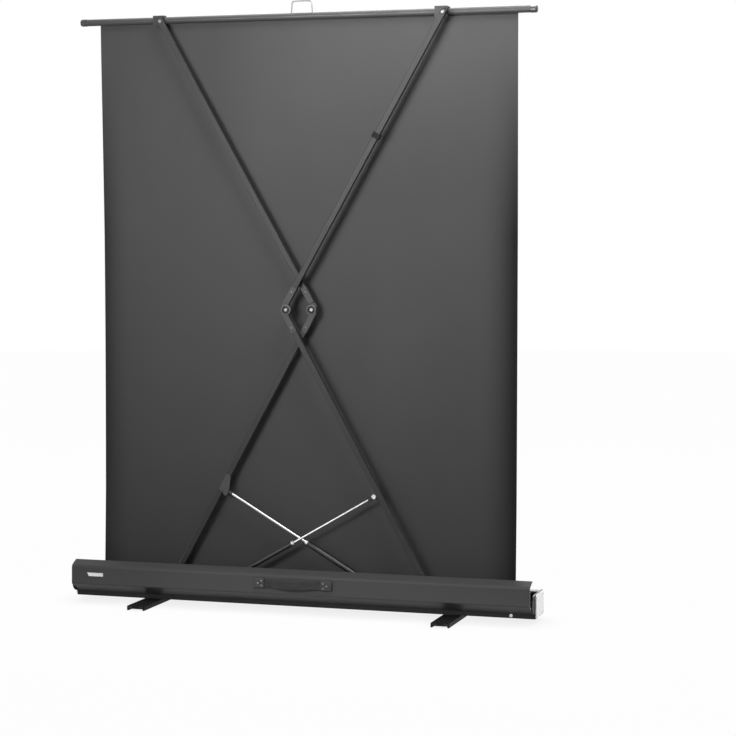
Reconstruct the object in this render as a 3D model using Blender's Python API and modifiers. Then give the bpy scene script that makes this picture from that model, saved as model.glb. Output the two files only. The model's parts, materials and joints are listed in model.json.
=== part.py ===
"""Pull-up projection screen: a floor case that holds a spring roller, and a folding arm frame that
carries the top bar. Metres, +Z up. The audience sees the white side from -Y; the arms are behind, at +Y.
Left means +X, as seen from behind."""

import math

import bmesh
import bpy
from mathutils import Matrix, Vector

# Clearances
GAP = 0.0003
PIN_GAP = 0.0003
OPEN_PIVOT_GAP = 0.0010

# Feet
FOOT_HEIGHT = 0.0142
FOOT_WIDTH = 0.054
FOOT_LENGTH = 0.356
FOOT_WALL = 0.0020
FOOT_WEB = 0.0097
FOOT_RIB = 0.005
FOOT_ROUND = 0.003
FOOT_BOLT_LAND = 0.020
FOOT_INSET = 0.241
FOOT_BOLT_RADIUS = 0.004
FOOT_BOLT_HEAD_RADIUS = 0.009
FOOT_BOLT_HEAD = 0.0032
FOOT_NUT_RADIUS = 0.0075
FOOT_NUT_HEIGHT = 0.005
FOOT_BOLT_CHAMFER = 0.0010

# Case
CASE_END_ROOM = 0.049
BASE_WIDTH = 0.100
BASE_FLANGE = 0.014
BASE_WALL = 0.0025
SHELL_WALL = 0.002
SHELL_TONGUE = 0.009
SHELL_STEP = 0.002
BACK_WALL_Y = 0.0995
BACK_WALL_LOW = 0.042
BACK_WALL_HIGH = 0.097
BACK_WALL_LEAN = 0.0015
RIDGE_Y = 0.0640
RIDGE_HEIGHT = 0.114
RIDGE_LIP = 0.006
BACK_LOW_RADIUS = 0.006
BACK_HIGH_RADIUS = 0.010
RIDGE_RADIUS = 0.0035
FRONT_HEIGHT = 0.0705
FRONT_RADIUS = 0.014
SLOT_LIP_Y = -0.0085
SLOT_LIP = 0.007
SLOT_LIP_RADIUS = 0.0024
END_CAP = 0.004
END_CAP_BULGE = 0.036
END_CAP_BULGE_LOW = 0.014
END_PLATE = 0.003
END_PLATE_MARGIN = 0.0015
END_PLATE_RADIUS = 0.006
PLUG_INSET = 0.0655
PLUG_RADIUS = 0.0055
PLUG_DOME = 0.0025
PLUG_FLAT = 0.0038

# Carry handle on the back wall
HANDLE_SPAN = 0.206
HANDLE_RISE = 0.0315
STRAP_WIDTH = 0.022
STRAP_WALL = 0.003
STRAP_BOW = 0.022
HANDLE_CAP_LENGTH = 0.034
HANDLE_CAP_WIDTH = 0.029
HANDLE_CAP_DEPTH = 0.0085
HANDLE_CAP_ROUND = 0.003

# Roller and fabric
FABRIC_WIDTH = 1.280
FABRIC_WALL = 0.0005
ROLLER_RADIUS = 0.019
ROLLER_WALL = 0.0012
ROLLER_MARGIN = 0.015
ROLLER_HEIGHT = 0.033
WINDING = 0.0010
JOURNAL_RADIUS = 0.005
JOURNAL_LENGTH = 0.022
PLUG_DEPTH = 0.030
PLUG_FLANGE = 0.003
SPRING_TURNS = 12
SPRING_POINTS = 9
SPRING_LENGTH = 0.300
SPRING_RADIUS = 0.0115
SPRING_WIRE = 0.0012
SPINDLE_RADIUS = 0.0065
ROLLER_BRACKET_WALL = 0.003
ROLLER_BRACKET_WIDTH = 0.032

# Arm frame
TOP_PIVOT_INSET = 0.206
ARM_PIVOT_INSET = 0.022
ARM_PIVOT_HEIGHT = 0.038
ELBOW_CROSSING = 0.036
RAISED_ANGLE = 61.7
LAYER_GAP = 0.0040
ARM_WIDTH = 0.017
ARM_DEPTH = 0.013
ARM_WALL = 0.0015
ARM_ROUND = 0.002
ARM_OVERHANG = 0.0095
ARM_PIN_RADIUS = 0.004
ARM_PIN_HEAD_RADIUS = 0.0056
ARM_PIN_HEAD = 0.0018
ARM_BRACKET_WALL = 0.0024
ARM_BRACKET_LENGTH = 0.044
ARM_BRACKET_RISE = 0.013
ARM_BRACKET_FOOT = 0.018
ELBOW_LENGTH = 0.070
ELBOW_WALL = 0.0010
ELBOW_BOSS = 0.0160
ELBOW_ROOM = 0.0010
ELBOW_WEB = 0.0030
ELBOW_ROUND = 0.0015
ELBOW_TONGUE = 0.0070
BUMPER_ALONG = 0.570
BUMPER_LENGTH = 0.016
BUMPER_WALL = 0.003

# Top bar
BAR_RADIUS = 0.010
BAR_WALL = 0.0015
BAR_INSET = 0.006
BAR_CAP_LENGTH = 0.018
BAR_CAP_LIP = 0.0008
BAR_CAP_DOME = 0.0045
BAR_CAP_FLAT = 0.0075
BAR_SPIGOT = 0.020
BAR_ABOVE_PIVOT = 0.005
TOP_BRACKET_LENGTH = 0.036
TOP_BRACKET_OFFSET = 0.009
TOP_BRACKET_RING = 0.0035
TOP_BRACKET_HOOK = 115
TOP_BRACKET_WALL = 0.0024
TOP_BRACKET_DROP = 0.012
TOP_BRACKET_BRIDGE = 0.002
PULL_WIDTH = 0.059
PULL_HEIGHT = 0.036
PULL_SPLAY = 0.003
PULL_WIRE = 0.002
PULL_CORNER = 0.008
PULL_SUNK = 0.006

# Gas springs
TAB_ALONG = 0.345
TAB_DROP = 0.0165
TAB_WALL = 0.0022
TAB_RISE = 0.046
TAB_FALL = 0.018
TAB_LEAN = 0.010
TAB_RIM = 0.0085
TAB_ROUND = 0.005
TAB_PIN_RADIUS = 0.003
TAB_PIN_HEAD_RADIUS = 0.0069
TAB_PIN_HOLLOW = 0.0013
TAB_PIN_HEAD = 0.002
ANCHOR_INSET = 0.122
ANCHOR_HEIGHT = 0.028
ANCHOR_WALL = 0.002
ANCHOR_LENGTH = 0.022
ANCHOR_FOOT = 0.016
ROD_RADIUS = 0.004
ROD_EYE_RADIUS = 0.0080
ROD_EYE_DEPTH = 0.008
EYE_BITE = 0.001
ROD_SHOWN = 0.285
ROD_HIDDEN = 0.022
SOCKET_NEAR = 0.0085
SOCKET_FAR = 0.0205
SOCKET_RADIUS = 0.0055
SOCKET_TAPER = 0.001
PISTON_LENGTH = 0.010
CYLINDER_RADIUS = 0.0075
CYLINDER_WALL = 0.0015
CYLINDER_TAIL = 0.018
CYLINDER_TAPER = 0.003
GLAND_LENGTH = 0.008
GLAND_LIP = 0.0010

# Places worked out from the driving dimensions
BASE_BOTTOM = FOOT_HEIGHT + GAP
BASE_FLOOR = BASE_BOTTOM + BASE_WALL
ROLLER_LENGTH = FABRIC_WIDTH + 2 * ROLLER_MARGIN
CASE_LENGTH = ROLLER_LENGTH + 2 * CASE_END_ROOM
BAR_LENGTH = CASE_LENGTH - 2 * BAR_INSET
HALF_CASE = CASE_LENGTH / 2
HALF_BASE = BASE_WIDTH / 2
FOOT_X = HALF_CASE - FOOT_INSET
FRONT_TOP = BASE_BOTTOM + FRONT_HEIGHT
ROLLER_Z = BASE_BOTTOM + ROLLER_HEIGHT
ROLLER_Y = -FABRIC_WALL / 2 - GAP - ROLLER_RADIUS - GAP - WINDING
HALF_ROLLER = ROLLER_LENGTH / 2
RAISED = math.radians(RAISED_ANGLE)
TOP_PIVOT_X = FABRIC_WIDTH / 2 - TOP_PIVOT_INSET
ARM_PIVOT_X = TOP_PIVOT_X - ARM_PIVOT_INSET
ARM_PIVOT_Z = BASE_BOTTOM + ARM_PIVOT_HEIGHT
ELBOW_X = -ELBOW_CROSSING
LOWER_REACH = (ARM_PIVOT_X - ELBOW_X) / math.cos(RAISED)
UPPER_REACH = LOWER_REACH + TOP_PIVOT_X - ARM_PIVOT_X
ELBOW_WIDTH = ARM_WIDTH + 2 * ELBOW_WALL
ELBOW_DEPTH = ARM_DEPTH + 2 * ELBOW_WALL
ELBOW_SOCKET_STOP = ELBOW_BOSS + ELBOW_ROOM + ELBOW_WEB
PIN_OFFSET = ELBOW_WIDTH / 2 + GAP
BAR_Y = FABRIC_WALL / 2 + GAP + BAR_RADIUS
LEFT_LAYER_Y = BAR_Y + BAR_RADIUS + 2 * GAP + TOP_BRACKET_WALL + ARM_DEPTH / 2
RIGHT_LAYER_Y = LEFT_LAYER_Y + ELBOW_DEPTH + LAYER_GAP
HANDLE_HEIGHT = BACK_WALL_LOW + HANDLE_RISE
ELBOW_Z = ARM_PIVOT_Z + LOWER_REACH * math.sin(RAISED)
UPPER_RAISED = math.acos((TOP_PIVOT_X - ELBOW_X) / UPPER_REACH)
TOP_PIVOT_Z = ELBOW_Z + UPPER_REACH * math.sin(UPPER_RAISED)
LOWER_RUN = math.sqrt(LOWER_REACH ** 2 - PIN_OFFSET ** 2)
UPPER_RUN = math.sqrt(UPPER_REACH ** 2 - PIN_OFFSET ** 2)
LOWER_TILT = RAISED - math.asin(PIN_OFFSET / LOWER_REACH)
UPPER_TILT = UPPER_RAISED - math.asin(PIN_OFFSET / UPPER_REACH)
BAR_Z = TOP_PIVOT_Z + BAR_ABOVE_PIVOT
PULL_RISE = PULL_SUNK + PULL_HEIGHT - PULL_WIRE
PULL_HOLE_X = PULL_WIDTH / 2 + PULL_SPLAY * (1 - (PULL_SUNK - BAR_WALL / 2) / PULL_RISE)
ANCHOR_X = ARM_PIVOT_X - ANCHOR_INSET
ANCHOR_Z = BASE_BOTTOM + ANCHOR_HEIGHT
SIDES = {"left": 1, "right": -1}
LAYERS = {"left": LEFT_LAYER_Y, "right": RIGHT_LAYER_Y}
UPRIGHT_TO_Y = (-math.pi / 2, 0, 0)
UPRIGHT_TO_X = (0, math.pi / 2, 0)


# Scene set-up and shared makers

def clear_scene():
    for obj in list(bpy.data.objects):
        bpy.data.objects.remove(obj, do_unlink=True)
    for group in list(bpy.data.collections):
        bpy.data.collections.remove(group)


def new_collection(name):
    group = bpy.data.collections.new(name)
    bpy.context.scene.collection.children.link(group)
    return group


def finish(name, color, roughness, metallic=0.0):
    mat = bpy.data.materials.new(name)
    mat.use_nodes = True
    shader = mat.node_tree.nodes["Principled BSDF"]
    shader.inputs["Base Color"].default_value = (*color, 1.0)
    shader.inputs["Roughness"].default_value = roughness
    shader.inputs["Metallic"].default_value = metallic
    return mat


def place(name, mesh, mat, parent=None, location=(0, 0, 0), rotation=(0, 0, 0)):
    obj = bpy.data.objects.new(name, mesh)
    parts.objects.link(obj)
    mesh.materials.clear()
    mesh.materials.append(mat)
    obj.parent = parent
    obj.location = location
    obj.rotation_euler = rotation
    return obj


def pivot(name, location, angle=0.0):
    empty = bpy.data.objects.new(name, None)
    parts.objects.link(empty)
    empty.location = location
    empty.rotation_euler = (0, angle, 0)
    return empty


def smooth(mesh, angle=35):
    mesh.shade_smooth()
    mesh.set_sharp_from_angle(angle=math.radians(angle))
    return mesh


def welded_mesh(name, curve):
    """A curve's evaluated mesh with its caps welded on."""
    temp = bpy.data.objects.new(name, curve)
    bpy.context.scene.collection.objects.link(temp)
    graph = bpy.context.evaluated_depsgraph_get()
    mesh = bpy.data.meshes.new_from_object(temp.evaluated_get(graph))
    bpy.data.objects.remove(temp, do_unlink=True)
    bpy.data.curves.remove(curve)
    work = bmesh.new()
    work.from_mesh(mesh)
    bmesh.ops.remove_doubles(work, verts=work.verts, dist=0.00001)
    bmesh.ops.recalc_face_normals(work, faces=work.faces)
    work.to_mesh(mesh)
    work.free()
    mesh.name = name
    return mesh


def slab(name, loops, depth, normal, shift=0.0):
    """Flat outline, with any holes as further loops, extruded by depth along the normal axis."""
    curve = bpy.data.curves.new(name, "CURVE")
    curve.dimensions = "2D"
    curve.fill_mode = "BOTH"
    curve.extrude = depth / 2
    for loop in loops:
        spline = curve.splines.new("POLY")
        spline.points.add(len(loop) - 1)
        spline.use_cyclic_u = True
        for point, (u, v) in zip(spline.points, loop):
            point.co = (u, v, 0, 1)
    mesh = welded_mesh(name, curve)
    turn = {"X": Matrix(((0, 0, 1), (1, 0, 0), (0, 1, 0))),
            "Y": Matrix(((1, 0, 0), (0, 0, -1), (0, 1, 0))),
            "Z": Matrix.Identity(3)}[normal]
    offset = {"X": Vector((shift, 0, 0)), "Y": Vector((0, shift, 0)), "Z": Vector((0, 0, shift))}[normal]
    mesh.transform(Matrix.Translation(offset) @ turn.to_4x4())
    return mesh


def rod_mesh(name, points, radius, resolution=2):
    curve = bpy.data.curves.new(name, "CURVE")
    curve.dimensions = "3D"
    curve.bevel_depth = radius
    curve.bevel_resolution = resolution
    curve.use_fill_caps = True
    spline = curve.splines.new("POLY")
    spline.points.add(len(points) - 1)
    for point, spot in zip(spline.points, points):
        point.co = (*spot, 1)
    return smooth(welded_mesh(name, curve))


def arc(center, radius, start, end, steps):
    """Points on an arc, from start to end in degrees."""
    turns = [math.radians(start + (end - start) * i / steps) for i in range(steps + 1)]
    return [(center[0] + radius * math.cos(t), center[1] + radius * math.sin(t)) for t in turns]


def circle(center, radius, steps=24):
    return arc(center, radius, 0, 360, steps)[:-1]


def round_box(center, width, height, radius, steps=3):
    u = width / 2 - radius
    v = height / 2 - radius
    corners = ((u, v, 0), (-u, v, 90), (-u, -v, 180), (u, -v, 270))
    loop = []
    for du, dv, start in corners:
        loop += arc((center[0] + du, center[1] + dv), radius, start, start + 90, steps)
    return loop


def filleted(points, radii, steps=4):
    """An open path whose inner corners are rounded by the given radii."""
    path = [Vector(points[0])]
    for before, corner, after, radius in zip(points, points[1:], points[2:], radii):
        corner = Vector(corner)
        into = (Vector(before) - corner).normalized()
        out = (Vector(after) - corner).normalized()
        half = into.angle(out) / 2
        if radius == 0:
            path.append(corner)
            continue
        first = corner + into * radius / math.tan(half)
        center = corner + (into + out).normalized() * radius / math.sin(half)
        last = corner + out * radius / math.tan(half)
        for i in range(steps + 1):
            blend = first.lerp(last, i / steps) - center
            path.append(center + blend.normalized() * radius)
    path.append(Vector(points[-1]))
    return path


def folded_sheet(name, path, length, wall, mat, center_x=0.0):
    """A (y, z) path extruded along X, with its wall on the side away from the face normals."""
    work = bmesh.new()
    rows = []
    for y, z in path:
        ends = [work.verts.new((x, y, z)) for x in (-length / 2, length / 2)]
        rows.append(ends)
    for first, second in zip(rows, rows[1:]):
        work.faces.new((first[0], second[0], second[1], first[1]))
    mesh = bpy.data.meshes.new(name)
    work.to_mesh(mesh)
    work.free()
    obj = place(name, mesh, mat, location=(center_x, 0, 0))
    solid = obj.modifiers.new("wall", "SOLIDIFY")
    solid.thickness = wall
    solid.offset = -1
    solid.use_even_offset = True
    return obj


def turned_mesh(name, profile, closed=False):
    """Edges of a half profile of (radius, height) points, for a Screw modifier about Z."""
    work = bmesh.new()
    spots = [work.verts.new((radius, 0, height)) for radius, height in profile]
    for first, second in zip(spots, spots[1:]):
        work.edges.new((first, second))
    if closed:
        work.edges.new((spots[-1], spots[0]))
    mesh = bpy.data.meshes.new(name)
    work.to_mesh(mesh)
    work.free()
    return mesh


def turned(name, profile, mat, steps=20, closed=False, **where):
    """A turned piece; the profile runs down its outer side."""
    obj = place(name, turned_mesh(name, profile, closed), mat, **where)
    screw = obj.modifiers.new("turn", "SCREW")
    screw.steps = steps
    screw.render_steps = steps
    screw.use_merge_vertices = True
    screw.merge_threshold = 0.00001
    screw.use_smooth_shade = True
    return obj


def block_mesh(name, size, center=(0, 0, 0)):
    work = bmesh.new()
    bmesh.ops.create_cube(work, size=1.0)
    bmesh.ops.scale(work, vec=size, verts=work.verts)
    bmesh.ops.translate(work, vec=center, verts=work.verts)
    mesh = bpy.data.meshes.new(name)
    work.to_mesh(mesh)
    work.free()
    return mesh


def cylinder_mesh(name, radius, length, steps=24):
    work = bmesh.new()
    bmesh.ops.create_cone(work, cap_ends=True, segments=steps, radius1=radius, radius2=radius, depth=length)
    mesh = bpy.data.meshes.new(name)
    work.to_mesh(mesh)
    work.free()
    return mesh


def rounded(obj, width, segments=2):
    bevel = obj.modifiers.new("round", "BEVEL")
    bevel.width = width
    bevel.segments = segments
    bevel.limit_method = "ANGLE"
    return obj


def boolean(obj, mesh, operation="DIFFERENCE", location=(0, 0, 0), rotation=(0, 0, 0)):
    """Cut or join a helper shape that is placed in the piece's own space."""
    helper = bpy.data.objects.new(f"{obj.name}_helper", mesh)
    cutters.objects.link(helper)
    helper.parent = obj
    helper.location = location
    helper.rotation_euler = rotation
    helper.hide_render = True
    helper.display_type = "WIRE"
    step = obj.modifiers.new("boolean", "BOOLEAN")
    step.operation = operation
    step.solver = "EXACT"
    step.object = helper
    return obj


def bore_y(obj, x, z, radius, length):
    """A round hole along Y."""
    mesh = cylinder_mesh("bore", radius, length)
    return boolean(obj, mesh, location=(x, 0, z), rotation=UPRIGHT_TO_Y)


# Case

def back_path():
    outer = HALF_BASE - BASE_WALL - GAP
    step_y = HALF_BASE + SHELL_STEP
    step_z = BASE_BOTTOM + BASE_FLANGE + GAP
    points = [(outer, step_z - SHELL_TONGUE), (outer, step_z), (step_y, step_z),
              (BACK_WALL_Y, BASE_BOTTOM + BACK_WALL_LOW),
              (BACK_WALL_Y - BACK_WALL_LEAN, BASE_BOTTOM + BACK_WALL_HIGH),
              (RIDGE_Y, BASE_BOTTOM + RIDGE_HEIGHT),
              (RIDGE_Y, BASE_BOTTOM + RIDGE_HEIGHT - RIDGE_LIP)]
    return filleted(points, (0, 0, BACK_LOW_RADIUS, BACK_HIGH_RADIUS, RIDGE_RADIUS))


def front_path():
    outer = HALF_BASE - BASE_WALL - GAP
    step_y = HALF_BASE + SHELL_STEP
    step_z = BASE_BOTTOM + BASE_FLANGE + GAP
    points = [(SLOT_LIP_Y, FRONT_TOP - SLOT_LIP), (SLOT_LIP_Y, FRONT_TOP), (-step_y, FRONT_TOP),
              (-step_y, step_z), (-outer, step_z), (-outer, step_z - SHELL_TONGUE)]
    return filleted(points, (SLOT_LIP_RADIUS, FRONT_RADIUS, 0, 0))


def build_case():
    low = BASE_BOTTOM
    high = BASE_BOTTOM + BASE_FLANGE
    base_path = [(-HALF_BASE, high), (-HALF_BASE, low), (HALF_BASE, low), (HALF_BASE, high)]
    base = folded_sheet("case_base", base_path, CASE_LENGTH, BASE_WALL, black_aluminium)
    for side in SIDES.values():
        hole = cylinder_mesh("bolt_hole", FOOT_BOLT_RADIUS + PIN_GAP, 4 * BASE_WALL)
        boolean(base, hole, location=(side * FOOT_X, 0, BASE_BOTTOM + BASE_WALL / 2))
    folded_sheet("case_back_shell", back_path(), CASE_LENGTH, SHELL_WALL, black_aluminium)
    folded_sheet("case_front_shell", front_path(), CASE_LENGTH, SHELL_WALL, black_aluminium)
    bulge_z = (BASE_BOTTOM + END_CAP_BULGE_LOW + FRONT_TOP) / 2
    bulge_half = (FRONT_TOP - BASE_BOTTOM - END_CAP_BULGE_LOW) / 2
    bulge = [(HALF_BASE + END_CAP_BULGE * math.cos(t), bulge_z + bulge_half * math.sin(t))
             for t in (math.radians(-90 + 15 * i) for i in range(13))]
    cap_loop = [(-HALF_BASE, FRONT_TOP), (-HALF_BASE, BASE_BOTTOM), (HALF_BASE, BASE_BOTTOM)] + bulge
    plate_height = FRONT_TOP - BASE_BOTTOM - 2 * END_PLATE_MARGIN
    plate_z = (FRONT_TOP + BASE_BOTTOM) / 2
    plate_loop = round_box((0, plate_z), BASE_WIDTH - 2 * END_PLATE_MARGIN, plate_height, END_PLATE_RADIUS)
    for name, side in SIDES.items():
        cap_x = side * (HALF_CASE + GAP + END_CAP / 2)
        place(f"{name}_end_cap", slab("cap", [cap_loop], END_CAP, "X", cap_x), black_plastic)
        plate_x = side * (HALF_CASE + 2 * GAP + END_CAP + END_PLATE / 2)
        place(f"{name}_end_plate", slab("plate", [plate_loop], END_PLATE, "X", plate_x), pale_plastic)
    build_plug()


def build_plug():
    """Pale domed plug in the base flange below the back wall."""
    profile = [(0, PLUG_DOME), (PLUG_FLAT, PLUG_DOME), (PLUG_RADIUS, PLUG_DOME / 3), (PLUG_RADIUS, 0), (0, 0)]
    turned("case_plug", profile, pale_plastic, steps=16, rotation=UPRIGHT_TO_Y,
           location=(PLUG_INSET - HALF_CASE, HALF_BASE + GAP, BASE_BOTTOM + BASE_FLANGE / 2))


# Carry handle

def wall_y(height):
    """Outer face of the back wall at a height above the base."""
    share = (height - BACK_WALL_LOW) / (BACK_WALL_HIGH - BACK_WALL_LOW)
    return BACK_WALL_Y - BACK_WALL_LEAN * share


def build_handle():
    z = BASE_BOTTOM + HANDLE_HEIGHT
    seat = wall_y(HANDLE_HEIGHT - HANDLE_CAP_WIDTH / 2) + GAP
    half = HANDLE_SPAN / 2
    strap_y = seat + HANDLE_CAP_DEPTH / 2
    end = half + HANDLE_CAP_LENGTH / 4
    flat = half - HANDLE_CAP_LENGTH / 2
    path = [(-end, strap_y)]
    for i in range(25):
        share = i / 24
        rise = STRAP_BOW * math.sin(math.pi * share) ** 1.5
        path.append((-flat + 2 * flat * share, strap_y + rise))
    path.append((end, strap_y))
    work = bmesh.new()
    rows = [[work.verts.new((x, y, z + dz)) for dz in (-STRAP_WIDTH / 2, STRAP_WIDTH / 2)] for x, y in path]
    for first, second in zip(rows, rows[1:]):
        work.faces.new((first[0], first[1], second[1], second[0]))
    mesh = bpy.data.meshes.new("handle_strap")
    work.to_mesh(mesh)
    work.free()
    strap = place("handle_strap", mesh, black_rubber)
    wall = strap.modifiers.new("wall", "SOLIDIFY")
    wall.thickness = STRAP_WALL
    wall.offset = 0
    wall.use_even_offset = True
    for name, side in SIDES.items():
        size = (HANDLE_CAP_LENGTH, HANDLE_CAP_DEPTH, HANDLE_CAP_WIDTH)
        cap = place(f"{name}_handle_cap", block_mesh("cap", size), black_plastic,
                    location=(side * half, strap_y, z))
        rounded(cap, HANDLE_CAP_ROUND)
        pocket = (HANDLE_CAP_LENGTH, STRAP_WALL + 2 * GAP, STRAP_WIDTH + 2 * GAP)
        boolean(cap, block_mesh("pocket", pocket), location=(side * (GAP - HANDLE_CAP_LENGTH / 4), 0, 0))


# Roller and fabric

def build_roller():
    axis = pivot("roller_axis", (0, ROLLER_Y, ROLLER_Z))
    inner = ROLLER_RADIUS - ROLLER_WALL
    ring = [circle((0, 0), ROLLER_RADIUS), circle((0, 0), inner)]
    place("roller_tube", smooth(slab("tube", ring, ROLLER_LENGTH, "X")), bare_aluminium, axis)
    wound = [circle((0, 0), ROLLER_RADIUS + GAP + WINDING), circle((0, 0), ROLLER_RADIUS + GAP)]
    place("roller_winding", smooth(slab("winding", wound, FABRIC_WIDTH, "X")), white_fabric, axis)
    bung = inner - GAP
    plug_profile = [(0, PLUG_FLANGE + JOURNAL_LENGTH), (JOURNAL_RADIUS, PLUG_FLANGE + JOURNAL_LENGTH),
                    (JOURNAL_RADIUS, PLUG_FLANGE), (ROLLER_RADIUS, PLUG_FLANGE), (ROLLER_RADIUS, 0),
                    (bung, 0), (bung, -PLUG_DEPTH)]
    spring_profile = plug_profile + [(SPINDLE_RADIUS, -PLUG_DEPTH),
                                     (SPINDLE_RADIUS, -PLUG_DEPTH - SPRING_LENGTH - PLUG_DEPTH),
                                     (0, -PLUG_DEPTH - SPRING_LENGTH - PLUG_DEPTH)]
    idle_profile = plug_profile + [(0, -PLUG_DEPTH)]
    end = HALF_ROLLER + GAP
    turned("roller_spring_plug", spring_profile, black_plastic, parent=axis, location=(end, 0, 0),
           rotation=UPRIGHT_TO_X)
    turned("roller_idle_plug", idle_profile, black_plastic, parent=axis, location=(-end, 0, 0),
           rotation=(0, -math.pi / 2, 0))
    build_roller_spring(axis, end - PLUG_DEPTH - GAP - SPRING_WIRE)
    for name, side in SIDES.items():
        x = side * (end + PLUG_FLANGE + GAP + ROLLER_BRACKET_WALL / 2 + JOURNAL_LENGTH / 4)
        half = ROLLER_BRACKET_WIDTH / 2
        foot = BASE_FLOOR + GAP
        loop = [(ROLLER_Y - half, foot), (ROLLER_Y + half, foot)]
        loop += arc((ROLLER_Y, ROLLER_Z), half, 0, 180, 10)
        hole = circle((ROLLER_Y, ROLLER_Z), JOURNAL_RADIUS + PIN_GAP)
        plate = slab("bracket", [loop, hole], ROLLER_BRACKET_WALL, "X", x)
        place(f"{name}_roller_bracket", plate, zinc_steel)


def build_roller_spring(axis, start):
    """Torsion spring wound round the spindle inside the tube."""
    count = SPRING_TURNS * SPRING_POINTS
    points = []
    for i in range(count + 1):
        angle = 2 * math.pi * i / SPRING_POINTS
        x = start - SPRING_LENGTH * i / count
        points.append((x, SPRING_RADIUS * math.cos(angle), SPRING_RADIUS * math.sin(angle)))
    place("roller_spring", rod_mesh("spring", points, SPRING_WIRE, resolution=1), bright_steel, axis)
    print("roller spring gap between turns:", round(SPRING_LENGTH / SPRING_TURNS - 2 * SPRING_WIRE, 5))


def build_fabric():
    top = BAR_Z + BAR_RADIUS / 2
    low = ROLLER_Z
    size = (FABRIC_WIDTH, FABRIC_WALL, top - low)
    place("fabric_sheet", block_mesh("sheet", size), grey_fabric, location=(0, 0, (top + low) / 2))


# Arm frame. A lower arm runs from its case pivot to the elbow pin, and an upper arm from there to the bar.
# Along each arm the local x runs outwards, times the arm's direction, and the elbow pin lies on the seam
# where the folded arms stack.

def tube_mesh(start, end, center_z):
    outer = round_box((0, center_z), ARM_DEPTH, ARM_WIDTH, ARM_ROUND)
    inner = round_box((0, center_z), ARM_DEPTH - 2 * ARM_WALL, ARM_WIDTH - 2 * ARM_WALL, ARM_ROUND / 2)
    return slab("arm", [outer, inner], abs(end - start), "X", (start + end) / 2)


def build_elbow(name, parent, pin_x, pin_z, center_z, toward, fork):
    """Elbow fitting: a socket for the arm tube and, at the pin, either a fork or a tongue."""
    size = (ELBOW_LENGTH, ELBOW_DEPTH, ELBOW_WIDTH)
    sleeve = block_mesh("elbow", size, (pin_x + toward * ELBOW_LENGTH / 2, 0, center_z))
    fitting = rounded(place(name, sleeve, grey_cast, parent), ELBOW_ROUND)
    boss = cylinder_mesh("boss", ELBOW_BOSS, ELBOW_DEPTH)
    boolean(fitting, boss, "UNION", location=(pin_x, 0, pin_z), rotation=UPRIGHT_TO_Y)
    stop = pin_x + toward * ELBOW_SOCKET_STOP
    socket = (ELBOW_LENGTH, ARM_DEPTH + 2 * GAP, ARM_WIDTH + 2 * GAP)
    socket_x = stop - toward * GAP + toward * ELBOW_LENGTH / 2
    boolean(fitting, block_mesh("socket", socket), location=(socket_x, 0, center_z))
    room = ELBOW_BOSS + ELBOW_ROOM
    if fork:
        size = (2 * room, ELBOW_TONGUE + 2 * GAP, 4 * ELBOW_BOSS)
        boolean(fitting, block_mesh("slot", size), location=(pin_x, 0, pin_z))
    else:
        for sign in (-1, 1):
            y = sign * (ELBOW_TONGUE + ELBOW_DEPTH) / 2
            size = (2 * room, ELBOW_DEPTH, 4 * ELBOW_BOSS)
            boolean(fitting, block_mesh("relief", size), location=(pin_x, y, pin_z))
    bore_y(fitting, pin_x, pin_z, ARM_PIN_RADIUS + PIN_GAP, 2 * ELBOW_DEPTH)
    return fitting


def pin_profile(start, end, radius, head_radius, head, low_head):
    """Rivet along Y from start to end between its heads."""
    top = end + head
    low_radius = (radius + head_radius) / 2
    return [(0, top), (head_radius - head, top), (head_radius, end + head / 3), (head_radius, end),
            (radius, end), (radius, start), (low_radius, start), (low_radius, start - low_head),
            (0, start - low_head)]


def stud_profile(start, end, radius, head_radius, head):
    """Pin fixed by its plain end, with a head on the other."""
    return pin_profile(start, end, radius, head_radius, head, 0)[:6] + [(0, start)]


def rivet(name, parent, x, z, start, end):
    profile = pin_profile(start, end, ARM_PIN_RADIUS, ARM_PIN_HEAD_RADIUS, ARM_PIN_HEAD, ARM_PIN_HEAD / 2)
    return turned(name, profile, bright_steel, parent=parent, location=(x, 0, z), rotation=UPRIGHT_TO_Y)


def build_arms():
    frames = {}
    for name, side in SIDES.items():
        layer = LAYERS[name]
        lower = pivot(f"{name}_lower_pivot", (side * ARM_PIVOT_X, layer, ARM_PIVOT_Z), side * LOWER_TILT)
        frames[f"{name}_lower"] = lower
        along = -side
        start = -along * ARM_OVERHANG
        end = along * (LOWER_RUN - ELBOW_SOCKET_STOP)
        arm = place(f"{name}_lower_arm", tube_mesh(start, end, 0), black_paint, lower)
        bore_y(arm, 0, 0, ARM_PIN_RADIUS + PIN_GAP, 2 * ARM_DEPTH)
        pin_x = along * LOWER_RUN
        build_elbow(f"{name}_lower_elbow", lower, pin_x, PIN_OFFSET, 0, -along, True)
        half = ELBOW_DEPTH / 2 + GAP
        rivet(f"{name}_elbow_pin", lower, pin_x, PIN_OFFSET, -half, half)

        upper = pivot(f"{name}_upper_pivot", (side * ELBOW_X, layer, ELBOW_Z), -side * UPPER_TILT)
        frames[f"{name}_upper"] = upper
        along = side
        start = along * ELBOW_SOCKET_STOP
        end = along * (UPPER_RUN + ARM_OVERHANG)
        arm = place(f"{name}_upper_arm", tube_mesh(start, end, PIN_OFFSET), black_paint, upper)
        top_gap = OPEN_PIVOT_GAP if name == "right" else PIN_GAP
        bore_y(arm, along * UPPER_RUN, PIN_OFFSET, ARM_PIN_RADIUS + top_gap, 2 * ARM_DEPTH)
        build_elbow(f"{name}_upper_elbow", upper, 0, 0, PIN_OFFSET, along, False)
        build_arm_bracket(name, side, layer)
    build_bumper(frames["right_upper"], -1)
    return frames


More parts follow.
